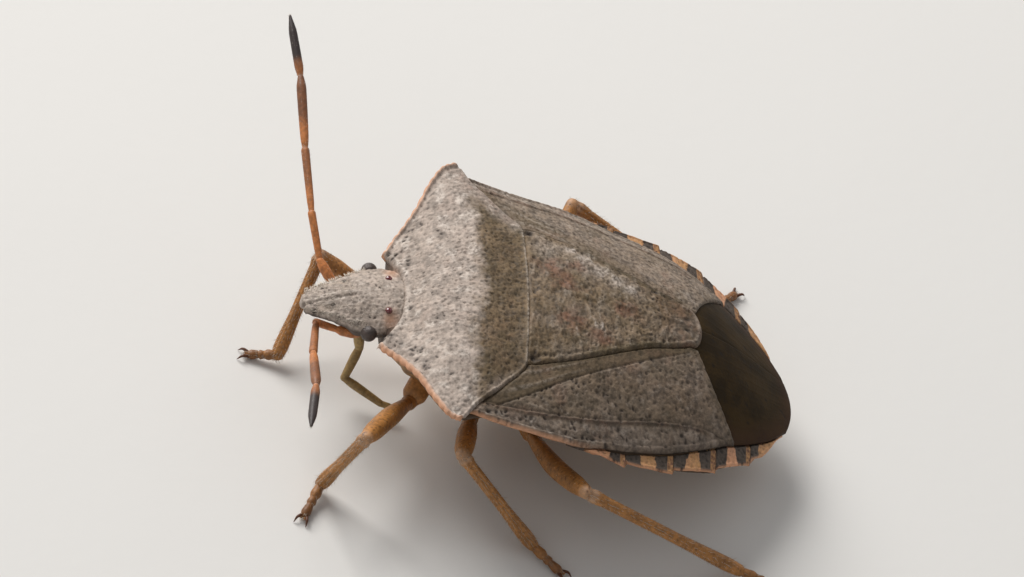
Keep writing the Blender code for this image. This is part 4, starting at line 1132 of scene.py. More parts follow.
def add_corium(side_name, sign, finish):
    """The leathery part of a forewing, with its clavus, suture and long veins."""
    size = sizes()
    grid = corium_grid()
    x, y = grid[..., 0], grid[..., 1]
    masks = plate_masks(x.shape)
    costa = border_distance(grid, grid[:, -1])
    rear_edge = border_distance(grid, grid[-1])
    seed = 80 if sign > 0 else 90
    pit, share = pitted(x, y, seed, 1.1)

    suture_x, vein_x, scutellum_x = claval_suture(y), main_vein(y), scutellum_side(y)
    suture_gap, vein_gap = x - suture_x, x - vein_x
    before_end = 1 - smooth(3.2, 3.5, y)
    suture = bump(suture_gap, 0.035) * before_end
    clavus = smooth(0.02, -0.04, suture_gap) * before_end
    vein = bump(vein_gap, 0.05) * (1 - smooth(3.5, 3.95, y))
    beside_vein = vein_gap + 0.06
    branch_gap = x - (suture_x + 0.45 * (vein_x - suture_x) - 0.02 * y)
    branch = bump(branch_gap, 0.05) * smooth(1.9, 2.6, y) * (1 - smooth(3.4, 3.8, y)) * 0.5
    across_clavus = (x - scutellum_x) / (suture_x - scutellum_x)
    stripe = sum(bump(across_clavus - place, 0.10) for place in (0.35, 0.75))
    stripe = stripe * (1 - smooth(0.3, 1.4, y)) * smooth(-0.9, -0.4, y) * 0.6
    rough = (1 - 0.6 * clavus) * (1.0 if sign > 0 else 0.65)
    relief = size["crust"] * 0.8 * ripple(x, y, 0.10, seed + 3) + 0.012 * ripple(x, y, 0.4, seed + 4, 2)
    beneath_scutellum = (1 - smooth(0.02, 0.12, x - scutellum_x + 0.02)) * (y < SCUTELLUM_TIP_Y)
    beneath_pronotum = 1 - smooth(-0.03, 0.10, y - hind_curve(x))
    top = back(x, y) + (relief - size["pit_depth"] * 1.1 * pit) * rough
    top = raised(top, "corium", vein=vein, branch=branch, stripe=stripe, suture=suture,
                 beside_vein=bump(beside_vein, 0.04), gutter=bump(costa - 0.13, 0.06),
                 bead=bump(costa - 0.04, 0.05), beneath_scutellum=beneath_scutellum,
                 beneath_pronotum=beneath_pronotum)
    top = top - rolled(costa, 0.05) - 0.5 * rolled(rear_edge, 0.05)

    strip = smooth(0.02, 0.10, vein_gap)
    front_bead = bump(costa, 0.045) * (1 - smooth(0.3, 1.7, y))
    rim_line = bump(costa - 0.10, 0.05) + bump(costa, 0.05) * smooth(1.5, 2.4, y)
    fading = 1 - 0.6 * smooth(1.0, 2.6, y)
    masks["tone"] = held(0.86 + 0.14 * ripple(x, y, 0.5, seed + 5) - 0.16 * strip + 0.2 * clavus)
    masks["olive"] = held(0.45 * clavus * (1 - 0.5 * stripe) * fading
                          + 0.40 * bump(rear_edge, 0.25) + 0.5 * bump(x - scutellum_x - 0.05, 0.12)
                          + 0.45 * spot(x, y, CORIUM_INNER_BLOT, 0.6), 0.95)
    reddish = smooth(0.2, 0.6, ripple(x, y, 0.5, seed + 6))
    masks["rust"] = held(0.35 * vein + 0.2 * branch + 0.25 * reddish)
    net = smooth(0.15, 0.7, ripple(x, y, 0.11, seed + 7))
    knobs = strip * smooth(0.1, 0.6, ripple(x, y, 0.09, seed + 9)) * (1 - 0.6 * smooth(0.5, 2.5, y))
    masks["white"] = held(0.14 * net * (1 - clavus) + 0.30 * stripe + 0.30 * knobs, 0.8)
    masks["margin"] = held(0.75 * front_bead)
    blotch = 0.45 + 0.75 * ripple(x, y, 0.30, seed + 8, 2) + 0.35 * strip
    dark = smooth(0.45, 0.65, share) * held(blotch)
    masks["pit"] = held(pit * held(0.12 + 0.85 * dark) * (1 - 0.5 * clavus) * (1 - front_bead)
                        + 0.65 * suture * (0.4 + 0.6 * pit) + 0.40 * rim_line
                        + 0.50 * vein * smooth(-0.5, 0.3, y) + 0.35 * bump(beside_vein, 0.035), 0.94)
    # Painted light and shade: the left wing, turned from the key light, gets more dark pits; the right one
    # gets fewer pits, less olive and more white
    if sign > 0:
        masks["pit"] = held(masks["pit"] + 0.09 * (1 - front_bead), 0.94)
    else:
        masks["pit"] = masks["pit"] * 0.62
        masks["olive"] = masks["olive"] * 0.55
        masks["white"] = held(masks["white"] + 0.10, 0.8)
    thin = 0.055 + (size["wing"] - 0.055) * smooth(0.05, 0.45, costa)
    low = np.minimum(back(x, y) - thin, top - 0.05)
    add_sided("corium_leather_", side_name, sign, grid, top, low, finish, "corium_", masks)


class SHIELDBUG_OT_wings(bpy.types.Operator):
    """Build the leathery part of both forewings"""

    bl_idname = "shield_bug.wings"
    bl_label = "Forewings"

    def execute(self, context):
        finish = shell_finish("wing_leather", "wing")
        for side_name, sign in SIDES:
            add_corium(side_name, sign, finish)
        return {"FINISHED"}


def overlap_line(y):
    """Where the edge of the left membrane lies over the right one: x at a given y."""
    return -0.10 - 0.55 * (y - SCUTELLUM_TIP_Y) / (TAIL_Y - SCUTELLUM_TIP_Y)


def membrane_finish():
    tint = colours()
    made = Finish("membrane_film", Specular_IOR_Level=0.12)
    speckle = made.noise(0.06, 3.0, 0.6)
    cloud = made.noise(0.7, 2.0)
    patches = made.eased(cloud * 0.7 + speckle * 0.3, 0.36, 0.64)
    colour = made.mix(patches, shade(tint["membrane"], 0.65), shade(tint["membrane"], 1.5))
    colour = made.mix(made.mask("brown") * 0.45, colour, shade(tint["rust"], 0.42))
    colour = made.mix(made.mask("vein") * 0.10, colour, shade(tint["membrane"], 1.8))
    colour = made.mix(made.mask("pit"), colour, shade(tint["pit"], 0.4))
    return made.finished(colour, 0.58 + 0.2 * speckle, speckle, 0.006)


def membrane_grid(line, tuck):
    """The thin end of a forewing, from its inner line outwards. Its front is tucked under the corium."""
    (inner_x, inner_y), (outer_x, outer_y) = CORIUM_INNER_END, CORIUM_CORNER
    end_y, end_x = MEMBRANE_SIDE[-1]
    narrower = 0.05
    first = line(3.40)

    def front(s):
        x = first + s * (outer_x - narrower - first)
        share = float(held((x - inner_x) / (outer_x - inner_x)))
        y = inner_y + share * (outer_y - inner_y) + CORIUM_END_BOW * math.sin(math.pi * share)
        return x, y - tuck

    def rear(s):
        x = line(TAIL_Y) + s * (end_x - line(TAIL_Y))
        return x, end_y + (TAIL_Y - end_y) * (1 - (abs(x) / end_x) ** 2)

    def outer(t):
        y = front(1)[1] + t * (end_y - front(1)[1])
        return (float(membrane_side(y)) if y > outer_y else outer_x - narrower * (outer_y - y) / tuck), y

    inner = running(line, front(0)[1], rear(0)[1])
    return patch(front, rear, inner, outer, *cells("membrane", 1.4, 1.4))


def fanned_veins(across, along):
    """Seven veins that run backwards over a membrane. Every other one forks."""
    vein = np.zeros_like(across)
    for k in range(7):
        at = 0.14 + 0.12 * k + 0.02 * np.sin(3 * along + k)
        fork = 0.03 * smooth(0.55, 0.9, along) * (k % 2)
        for way in (-1, 1):
            vein = np.maximum(vein, bump(across - at + way * fork, 0.016))
    return vein * smooth(0.05, 0.15, along) * (1 - smooth(0.88, 0.99, along))


def add_membrane(side_name, sign, finish):
    """The thin end of a forewing over the tail. The left one lies over the right one."""
    over = sign > 0
    hidden_strip = 0.0 if over else 0.45
    tuck = 0.22

    def line(y):
        return sign * overlap_line(y) - hidden_strip

    grid = membrane_grid(line, tuck)
    x, y = grid[..., 0], grid[..., 1]
    along, across = np.meshgrid(*(np.linspace(0, 1, count) for count in x.shape), indexing="ij")
    edge = np.minimum(border_distance(grid, grid[:, -1]), border_distance(grid, grid[-1]))
    vein = fanned_veins(across, along)
    lift = -0.045 if over else -0.075 - 0.05 * smooth(0.10, -0.20, x - sign * overlap_line(y))
    crease = ripple(x * 0.8, y * 1.1, 0.55, 101 if over else 104)
    beneath_corium = 1 - smooth(0.0, tuck, border_distance(grid, grid[0]))
    top = raised(back(x, y) + lift, "membrane", vein=vein, crease=crease, beneath_corium=beneath_corium)
    top = top - rolled(edge, 0.025) - (rolled(border_distance(grid, grid[:, 0]), 0.02) if over else 0)
    pit, share = pitted(x, y, 107 if over else 109, 2.2)
    specks = pit * smooth(0.62, 0.75, share) * 0.8
    masks = {"vein": vein, "pit": held(specks), "brown": bump(edge, 0.45)}
    add_sided("membrane_sheet_", side_name, sign, grid, top, top - sizes()["membrane"], finish,
              "membrane_", masks)


class SHIELDBUG_OT_membranes(bpy.types.Operator):
    """Build the thin dark wing ends, the left over the right, with raised veins"""

    bl_idname = "shield_bug.membranes"
    bl_label = "Membranes"

    def execute(self, context):
        finish = membrane_finish()
        for side_name, sign in SIDES:
            add_membrane(side_name, sign, finish)
        return {"FINISHED"}


def segment_share(y):
    """For each y, its share within its abdominal segment, 0 at the front."""
    borders = np.array((SEGMENT_BORDERS[0] - 0.95, *SEGMENT_BORDERS, TAIL_Y + 0.3))
    k = np.clip(np.searchsorted(borders, y, side="right") - 1, 0, len(borders) - 2)
    return (y - borders[k]) / (borders[k + 1] - borders[k])


def rim_outline(y):
    """The outer edge of the abdomen's rim, with a small tooth at the end of each segment."""
    share = segment_share(y) * (y > SEGMENT_BORDERS[0])
    toothed = edge_half_width(y) - RIM_INSET + TOOTH * share**2.2 - 0.03 * bump(share, 0.05)
    return toothed + (wing_half_width(y) - toothed) * smooth(5.25, 5.82, y)


def rim_finish():
    tint = colours()
    made = Finish("rim_bands", Specular_IOR_Level=0.35)
    speckle = made.noise(0.07, 4.0, 0.65)
    lumps = made.eased(speckle, 0.32, 0.68)
    ragged = speckle * 0.5
    band = made.eased(made.mask("band") + ragged, 0.55, 0.95)
    grey = made.eased(made.mask("grey") + ragged, 0.55, 0.95)
    tan = made.mix(made.mask("pink"), tint["rim"], tint["margin"])
    colour = made.mix(lumps, made.mix(0.35, tan, tint["rim_dark"]), tan)
    colour = made.mix(grey, colour, made.mix(lumps, tint["rust"], shade(tint["rim"], 0.8)))
    dark = made.mix(lumps, shade(tint["rim_dark"], 0.6), shade(tint["rim_dark"], 1.15))
    colour = made.mix(band, colour, dark)
    colour = made.mix(made.mask("margin"), colour, tint["margin"])
    colour = made.mix(made.mask("pit"), colour, tint["pit"])
    return made.finished(colour, 0.5 + 0.25 * speckle, speckle, 0.010)


def rim_fields(y, outward):
    """Where the rim is pale: 1 on the pale fields, whose borders slant a little outwards."""
    field = np.zeros_like(y)
    for first, past in PALE_FIELDS:
        inside = smooth(first - 0.06, first + 0.02, y + 0.05 * outward)
        field = np.maximum(field, inside * smooth(past + 0.06, past - 0.02, y - 0.05 * outward))
    return field


def add_rim(side_name, sign, finish):
    """The flat rim of the abdomen beside a wing, banded and notched segment by segment."""
    columns, rows = cells("rim")
    drop, slope, wider = (RIM_DROP, RIM_SLOPE, 0.0) if sign > 0 else FAR_RIM
    y = np.linspace(*RIM_ENDS, rows + 1)[:, None]
    share = np.linspace(0, 1, columns + 1)[None, :]
    inner = np.minimum(wing_half_width(y) - 0.35, edge_half_width(y) - 0.5)
    outer = rim_outline(y) + wider * smooth(3.2, 4.2, y) * smooth(5.75, 5.50, y)
    grid = np.stack(np.broadcast_arrays(inner + share * (outer - inner), y), axis=-1)
    x, y = grid[..., 0], grid[..., 1]
    within = segment_share(y)
    edge = border_distance(grid, grid[:, -1])
    pit, own = pitted(x, y, 121 if sign > 0 else 125, 0.9)
    seam = bump(within, 0.035) + bump(1 - within, 0.02)
    beyond = x - wing_half_width(y)
    top = back(wing_half_width(y), y) - drop - slope * beyond
    top = raised(top, "rim", seam=seam, grain=ripple(x, y, 0.12, 127), bead=bump(edge - 0.03, 0.04),
                 beneath_wing=1 - smooth(-0.02, 0.05, beyond))
    top = top - sizes()["pit_depth"] * 0.8 * pit - rolled(edge, 0.035) * 0.8
    field = rim_fields(y + 0.05 * ripple(x, y, 0.14, 128), 1 - smooth(0.05, 0.40, edge))
    tip = smooth(0.84, 0.90, within) * smooth(1.5, 2.0, y) * smooth(5.7, 5.6, y)
    # Painted light: the dark bands are weaker on the right rim, which faces the key light
    band = held(1 - field - tip) * (1.0 if sign > 0 else 0.72)
    pinkish = 0.6 * bump(y - 1.4, 0.6) + 0.7 * bump(y - 4.5, 0.3) + 0.5 * ripple(x, y, 0.2, 129, 2)
    masks = {"band": band, "grey": tip, "pink": held(0.35 + pinkish),
             "margin": bump(edge, 0.035) * 0.8 * smooth(1.10, 1.25, y),
             "pit": held(pit * (0.25 + 0.6 * band * smooth(0.4, 0.7, own)) + 0.4 * seam, 0.9)}
    under = grid - np.array([0.05, 0]) * (share == 1)[..., None]
    low = top - 0.16 + 0.10 * share**4
    add_sided("connexivum_rim_", side_name, sign, grid, top, low, finish, "connexivum_", masks, under)


class SHIELDBUG_OT_connexivum(bpy.types.Operator):
    """Build the banded, toothed rim of the abdomen beside both wings"""

    bl_idname = "shield_bug.connexivum"
    bl_label = "Abdomen rim"

    def execute(self, context):
        finish = rim_finish()
        for side_name, sign in SIDES:
            add_rim(side_name, sign, finish)
        return {"FINISHED"}


def belly_finish():
    tint = colours()
    made = Finish("belly_skin", Specular_IOR_Level=0.4)
    speckle = made.noise(0.08, 4.0, 0.6)
    cloud = made.noise(0.6, 3.0)
    colour = made.mix(made.eased(cloud, 0.3, 0.7), shade(tint["belly"], 0.74), tint["belly"])
    colour = made.mix(made.mask("seam") * 0.6, colour, tint["leg_spot"])
    # The pit and dark masks carry punctures, spiracles and the gland field, and also painted shade at the
    # skin's front end and flanks
    colour = made.mix(made.mask("pit"), colour, tint["leg_spot"])
    colour = made.mix(made.mask("dark"), colour, tint["pit"])
    return made.finished(colour, 0.42 + 0.25 * speckle, speckle, 0.008)


def skin_half_width(y):
    """Half the width of the underside's skin, just inside the plates' edges."""
    shoulder = np.minimum(edge_half_width(y) - 0.13, WIDEST_SKIN)
    return np.where(y > SEGMENT_BORDERS[0], np.minimum(shoulder, rim_outline(y) - 0.21), shoulder)


def flank_rise(share, core):
    """How the skin rises from the belly, 0, to the plates' edges, 1.

    It is round up to the core's side, and nearly flat from there.
    """
    shelf = 0.13
    inside = (1 - shelf) * np.minimum(share / core, 1) ** 2.6
    return inside + shelf * held((share - core) / (1 - core))


class SHIELDBUG_OT_underside(bpy.types.Operator):
    """Build one skin for the thorax and abdomen, from the belly up to the edges of the plates"""

    bl_idname = "shield_bug.underside"
    bl_label = "Underside"

    def execute(self, context):
        columns, rows = cells("underside", 2.0, 2.0)
        y = np.linspace(*SKIN_ENDS, rows + 1)[:, None]
        share = np.linspace(-1, 1, 2 * columns + 1)[None, :]
        x, y = np.broadcast_arrays(skin_half_width(y) * share, y)
        folded_share = np.abs(share) * np.ones_like(x)
        folded = np.abs(x)
        half_width = skin_half_width(y)
        rim = back(x, y) - 0.15 - 0.05 * (1 - smooth(0.9, 1.0, folded_share))
        belly = belly_height(y)
        core = np.clip(core_half_width(y) / half_width, 0.5, 0.85)
        low = belly + (edge_height(y) - 0.16 - belly) * flank_rise(folded_share, core)
        masks = {name: np.zeros_like(x) for name in ("seam", "pit", "dark")}

        def mark(mask, values):
            masks[mask] = np.maximum(masks[mask], values)

        for number, border in enumerate((THORAX_END, *SEGMENT_BORDERS)):
            bow = border - 0.35 * (1 - folded_share**2) * (1 if number else 0.4)
            seam = bump(y - bow, 0.05)
            low = raised(low, "underside", seam=seam)
            mark("seam", seam)
            if number:
                spiracle = bump(np.hypot(folded - half_width * 0.80, y - border + 0.55), 0.07)
                mark("dark", spiracle)
                low = raised(low, "underside", spiracle=spiracle)
        for border in THORAX_SEAMS:
            seam = bump(y - (border + 0.30 * folded_share**2), 0.06) * smooth(0.25, 0.40, folded_share)
            low = raised(low, "underside", thorax_seam=seam)
            mark("seam", seam)
        for _, hip, *_ in LEGS.values():
            distance = np.hypot(x - hip[0], y - hip[1])
            ring, socket = bump(distance - 0.34, 0.12), bump(distance, 0.28)
            low = raised(low, "underside", hip_ring=ring, hip_socket=socket)
            mark("seam", 0.6 * bump(distance - 0.26, 0.08))
        low = raised(low, "underside", gland=spot(folded, y, SCENT_GLAND, 0.22, 1.8))
        field = np.hypot((folded - GLAND_FIELD[0]) / 2.0, y - GLAND_FIELD[1])
        mark("dark", 0.35 * bump(field - 0.25, 0.12))
        distance, own = punctures(x, y, 0.13, 131)
        pit = 1 - smooth(0.2, 1.0, distance / 0.05)
        low = raised(low, "underside", pit=pit, grain=ripple(x, y, 0.2, 135))
        clusters = smooth(0.5, 0.8, own) * smooth(0.1, 0.5, ripple(x, y, 0.5, 133))
        mark("pit", pit * (0.25 + 0.55 * clusters))
        # Painted shade: the front end of the skin under the neck and its outer flanks under the plates' edges
        # are darkened for the shadow there. The tail end is darker too.
        mark("pit", 0.9 * smooth(-2.70, -2.88, y))
        mark("pit", 0.8 * smooth(5.80, 5.95, y))
        mark("dark", 0.8 * smooth(0.86, 0.94, folded_share))
        mark("dark", 0.85 * smooth(-2.60, -2.80, y))
        low = np.minimum(low, rim - 0.05)
        hidden = np.stack([x, y, rim], axis=-1)[::COARSE, ::COARSE]
        add_plate("underside_skin", np.stack([x, y, low], axis=-1), hidden, belly_finish(),
                  ("thorax", "abdomen"), masks, fine_up=False)
        return {"FINISHED"}


# Eyes and limbs


def dome(centre, radii, rings=40, sides=64, ripples=0.0):
    """A closed rounded form round a centre."""
    polar = np.linspace(0, math.pi, rings + 1)[1:-1, None]
    turn = 2 * math.pi * np.arange(sides)[None, :] / sides
    scale = 1 + ripples * np.sin(polar * 46) * np.sin(turn * 30)
    ring = np.stack([np.cos(polar) * np.ones_like(turn) * radii[0] * scale,
                     np.sin(polar) * np.cos(turn) * radii[1] * scale,
                     np.sin(polar) * np.sin(turn) * radii[2] * scale], axis=-1)
    points = np.concatenate([ring.reshape(-1, 3), [[radii[0], 0, 0], [-radii[0], 0, 0]]]) + np.array(centre)
    index = np.arange((rings - 1) * sides).reshape(-1, sides)
    turned = np.roll(index, -1, axis=1)
    faces = np.stack([index[:-1], index[1:], turned[1:], turned[:-1]], -1).reshape(-1, 4).tolist()
    first, last = (rings - 1) * sides, (rings - 1) * sides + 1
    faces += [(first, a, b) for a, b in zip(index[0], turned[0])]
    faces += [(last, b, a) for a, b in zip(index[-1], turned[-1])]
    return points, [tuple(int(i) for i in face) for face in faces]


def eye_finish():
    """Dark facets, each a small round swelling."""
    tint = colours()
    made = Finish("eye_facets", Specular_IOR_Level=0.6)
    place = made.node("ShaderNodeTexCoord", output="Object")
    sockets = {"Vector": place, "Scale": 1 / (EYE_FACET * MM), "Randomness": 0.25}
    facets = made.node("ShaderNodeTexVoronoi", {"feature": "F1"}, sockets)
    cloud = made.noise(0.12, 2.0)
    colour = made.mix(made.eased(cloud, 0.3, 0.7), shade(tint["eye"], 0.55), tint["eye"])
    return made.finished(colour, 0.30 + 0.2 * cloud, 1 - facets, 0.010)


def bead_finish():
    """The clear dark red of the two small eyes."""
    tint = colours()
    made = Finish("ocellus_bead", Specular_IOR_Level=0.8, Coat_Weight=0.6)
    cloud = made.noise(0.08, 2.0)
    colour = made.mix(cloud, shade(tint["ocellus"], 0.6), tint["ocellus"])
    return made.finished(colour, 0.12 + 0.1 * cloud, cloud, 0.002)


class SHIELDBUG_OT_eyes(bpy.types.Operator):
    """Build the faceted compound eyes and the two small glossy eyes on the crown"""

    bl_idname = "shield_bug.eyes"
    bl_label = "Eyes"

    def execute(self, context):
        facets, bead = eye_finish(), bead_finish()
        across, along = OCELLUS
        crown = arch(across, HEAD_REAR_HALF_WIDTH, head_edge_height(along), head_ridge_height(along), 2.0)
        for side_name, sign in SIDES:
            centre = np.array(EYE) * (sign, 1, 1) + np.array(FAR_EYE_SHIFT) * (sign < 0)
            eye = Lot()
            eye.add(*dome(centre, EYE_RADII, ripples=0.006))
            eye.piece("eye_globe_" + side_name, facets, ("eye_" + side_name,))
            small = Lot()
            small.add(*dome((sign * across, along, float(crown) + 0.005), OCELLUS_RADII, 16, 28))
            small.piece("ocellus_" + side_name, bead)
        return {"FINISHED"}


def limb_finish(name, main, dark):
    """A limb's horny skin: dark dots and ends, and pale joints."""
    tint = colours()
    made = Finish(name, Specular_IOR_Level=0.45)
    speckle = made.noise(0.07, 4.0, 0.6)
    cloud = made.noise(0.4, 2.0)
    mottle = made.eased(speckle * 0.6 + cloud * 0.4, 0.36, 0.64)
    colour = made.mix(mottle, shade(tint[main], 0.62), shade(tint[main], 1.18))
    colour = made.mix(made.mask("pale"), colour, tint["white"])
    colour = made.mix(made.mask("dark"), colour, tint[dark])
    colour = made.mix(made.mask("spot"), colour, shade(tint["leg_spot"], 0.6))
    return made.finished(colour, 0.38 + 0.25 * speckle, speckle, 0.008)


def spotted(along, around, seed, spacing=0.13, radius=0.032):
    """Dark dots over a limb, as a mask."""
    distance, share = punctures(along, around, spacing, seed)
    inside = 1 - smooth(0.4, 1.0, distance / (radius * (0.6 + 0.6 * share)))
    return inside * smooth(0.30, 0.50, share)


def ridged(angle):
    """A tibia's section, with flat sides between four edges."""
    return 1 + 0.07 * np.cos(4 * angle) - 0.05 * np.cos(8 * angle)


def limb_spikes(spikes, joints, girth, count, length, seed, lean=0.55):
    """Short hairs over a limb, added to a lot of spikes."""
    points, *_ = tube(joints, girth, step=0.06, sides=14)
    line = smooth_path(joints, 16)
    draw = np.random.default_rng(seed)
    chosen = draw.choice(len(points), size=min(count, len(points)), replace=False)
    for index in chosen:
        root = points[index]
        nearest = np.argmin(np.linalg.norm(line - root, axis=1))
        way = line[min(nearest + 1, len(line) - 1)] - line[max(nearest - 1, 0)]
        way = way / np.linalg.norm(way)
        out = root - line[nearest]
        out = out - way * out.dot(way)
        size = np.linalg.norm(out)
        if size < 1e-4 or root[2] < 0.03:
            continue
        out = out / size
        direction = out * (1 - lean) + way * lean + draw.normal(0, 0.12, 3)
        direction = direction / np.linalg.norm(direction)
        spikes.append((root - out * 0.01, direction * length * draw.uniform(0.6, 1.3)))


def add_coat(name, spikes, radius):
    """A coat of closed three-sided hairs, each from its root along its own length."""
    coat = Lot()
    for root, reach in spikes:
        reach = np.array([reach[0], reach[1], max(reach[2], 0.002 - root[2])])
        way = Vector(reach).normalized()
        across = way.orthogonal().normalized()
        up = way.cross(across)
        ring = [root + radius * (math.cos(t) * np.array(across) + math.sin(t) * np.array(up))
                for t in (0, 2 * math.pi / 3, 4 * math.pi / 3)]
        coat.add([*ring, root + reach], [(2, 1, 0), (0, 1, 3), (1, 2, 3), (2, 0, 3)])
    add_bake_map(coat.piece(name, hair_finish()), len(spikes))


def add_leg(name, joints, finish, spikes):
    """One leg: coxa, trochanter, femur, tibia, a foot of three segments and two claws."""
    root, hip, bow, knee, ankle, toe = (Vector(joint) for joint in joints)
    ankle.z, toe.z = ANKLE_HEIGHT, TOE_HEIGHT
    femur, tibia, foot = (hip.lerp(bow, 0.08), bow, knee), (knee, ankle), (ankle, toe)
    seed = sum(ord(letter) for letter in name)
    leg = Lot()

    def add(stretch, girth, dark=0.0, pale=None, spots=0.0, **more):
        points, faces, share, along, around = tube(stretch, girth, **more)
        spot_mask = spots * spotted(along, around, seed)
        leg.add(points, faces, dark=dark, pale=pale(share) if pale else 0.0, spot=spot_mask)

    add((root + Vector((0, 0, 0.10)), hip), COXA_GIRTH, spots=0.3)
    add((hip, hip.lerp(bow, 0.16)), TROCHANTER_GIRTH, dark=0.15)
    add(femur, FEMUR_GIRTH, spots=0.75, pale=lambda t: 0.16 * smooth(0.95, 1.0, t))
    add(tibia, TIBIA_GIRTH, spots=0.55, pale=lambda t: 0.22 * bump(t - 0.03, 0.04), section=ridged)
    for start, end, radius in FOOT_SEGMENTS:
        girth = [(share, radius * scale) for share, scale in FOOT_GIRTH]
        stretch = (ankle.lerp(toe, start), ankle.lerp(toe, end))
        add(stretch, girth, dark=0.30 + 0.45 * start, spots=0.3, floor=0.0)
    way = Vector((toe.x - ankle.x, toe.y - ankle.y, 0)).normalized()
    aside = Vector((-way.y, way.x, 0))

    def moved(start, spread, along, outwards, rise):
        return start + way * along + aside * spread * outwards + Vector((0, 0, rise))

    for spread in (-1, 1):
        base = moved(toe, spread, *CLAW_BASE)
        bend = moved(base, spread, *CLAW_BEND)
        tip = moved(bend, spread, *CLAW_TIP)
        pad = moved(base, spread, *PAD_TIP)
        add((base, bend, tip), CLAW_GIRTH, dark=1.0, sides=12, step=0.02, floor=0.0)
        add((base, pad), PAD_GIRTH, dark=0.1, sides=12, step=0.02, floor=0.0)
    length = sizes()["hair"]
    limb_spikes(spikes, femur, FEMUR_GIRTH, FEMUR_HAIRS, length * 0.7, seed)
    limb_spikes(spikes, tibia, TIBIA_GIRTH, TIBIA_HAIRS, length, seed + 1)
    limb_spikes(spikes, foot, FOOT_HAIR_GIRTH, FOOT_HAIRS, length * 0.8, seed + 2, lean=0.75)
    leg.piece("leg_limb_" + name, finish, ("leg_" + name,))


class SHIELDBUG_OT_legs(bpy.types.Operator):
    """Build the six spotted legs with their feet, claws and short hairs"""

    bl_idname = "shield_bug.legs"
    bl_label = "Legs"

    def execute(self, context):
        finish = limb_finish("leg_horn", "leg", "leg_spot")
        for name, joints in LEGS.items():
            spikes = []
            add_leg(name, joints, finish, spikes)
            add_coat("leg_hairs_" + name, spikes, LEG_HAIR_RADIUS)
        return {"FINISHED"}


def hair_finish():
    made = bpy.data.materials.get("pale_hair")
    if made:
        return made
    tint = colours()
    fresh = Finish("pale_hair", Specular_IOR_Level=0.4)
    cloud = fresh.noise(0.3, 2.0)
    colour = fresh.mix(cloud, shade(tint["hair"], 0.6), tint["hair"])
    return fresh.finished(colour, 0.45 + 0.1 * cloud, cloud, 0.001)


def add_bake_map(coat, count):
    """A small patch of the map for each hair, laid out row by row."""
    layer = coat.data.uv_layers.new(name="OFBake")
    per_row = math.ceil(math.sqrt(count))
    corners = ((0, 0), (0.003, 0), (0.0015, 0.003), (0.0015, 0.0015))
    loops = np.empty(len(coat.data.loops), np.int32)
    coat.data.loops.foreach_get("vertex_index", loops)
    hair, corner = loops // 4, loops % 4
    place = np.stack([(hair % per_row + 0.3) / per_row, (hair // per_row + 0.3) / per_row], axis=1)
    layer.data.foreach_set("uv", (place + np.array(corners)[corner]).astype(np.float32).ravel())


class SHIELDBUG_OT_antennae(bpy.types.Operator):
    """Build both feelers, each with five segments, orange at the base and dark at the ends"""

    bl_idname = "shield_bug.antennae"
    bl_label = "Antennae"

    def execute(self, context):
        finish = limb_finish("feeler_horn", "feeler", "feeler_dark")
        for side_name, joints in ANTENNAE.items():
            feeler = Lot()
            spikes = []
            for k, (stretch, girth, darkness) in enumerate(zip(pairwise(joints), FEELER_GIRTHS, FEELER_DARK)):
                base, tip = darkness
                points, faces, share, along, around = tube(stretch, girth, step=0.03)
                last = k == len(FEELER_GIRTHS) - 1
                turn = 0.16 if last else 0.30
                dark = base + (tip - base) * smooth(turn, turn + 0.20, share)
                pale = 0.45 * bump(share, 0.07) if k >= 3 else 0.12 * bump(share, 0.05)
                if last:
                    pale = pale + 0.5 * smooth(0.90, 1.0, share)
                feeler.add(points, faces, dark=dark * (1 - bump(share, 0.10)), pale=pale,
                           spot=0.25 * spotted(along, around, 141 + k))
                limb_spikes(spikes, stretch, girth, FEELER_HAIRS[k], FEELER_HAIR_LENGTH, 151 + k, lean=0.6)
            feeler.piece("antenna_feeler_" + side_name, finish, ("antenna_" + side_name,))
            add_coat("antenna_hairs_" + side_name, spikes, FEELER_HAIR_RADIUS)
        return {"FINISHED"}


class SHIELDBUG_OT_beak(bpy.types.Operator):
    """Build the four-jointed beak under the head"""

    bl_idname = "shield_bug.beak"
    bl_label = "Beak"

    def execute(self, context):
        finish = limb_finish("beak_horn", "beak", "leg_spot")
        sheath = Lot()
        for k, (stretch, girth) in enumerate(zip(pairwise(BEAK), BEAK_GIRTHS)):
            points, faces, share, along, around = tube(stretch, girth, step=0.03)
            tip = smooth(0.3, 1.0, share) * (0.9 if k == len(BEAK_GIRTHS) - 1 else 0.0)
            dark = held(tip + 0.3 * bump(share, 0.05) + (0.28 if k else 0.0))
            sheath.add(points, faces, dark=dark, pale=0.0, spot=0.15 * spotted(along, around, 171 + k))
        sheath.piece("beak_sheath", finish, ("beak",))
        return {"FINISHED"}


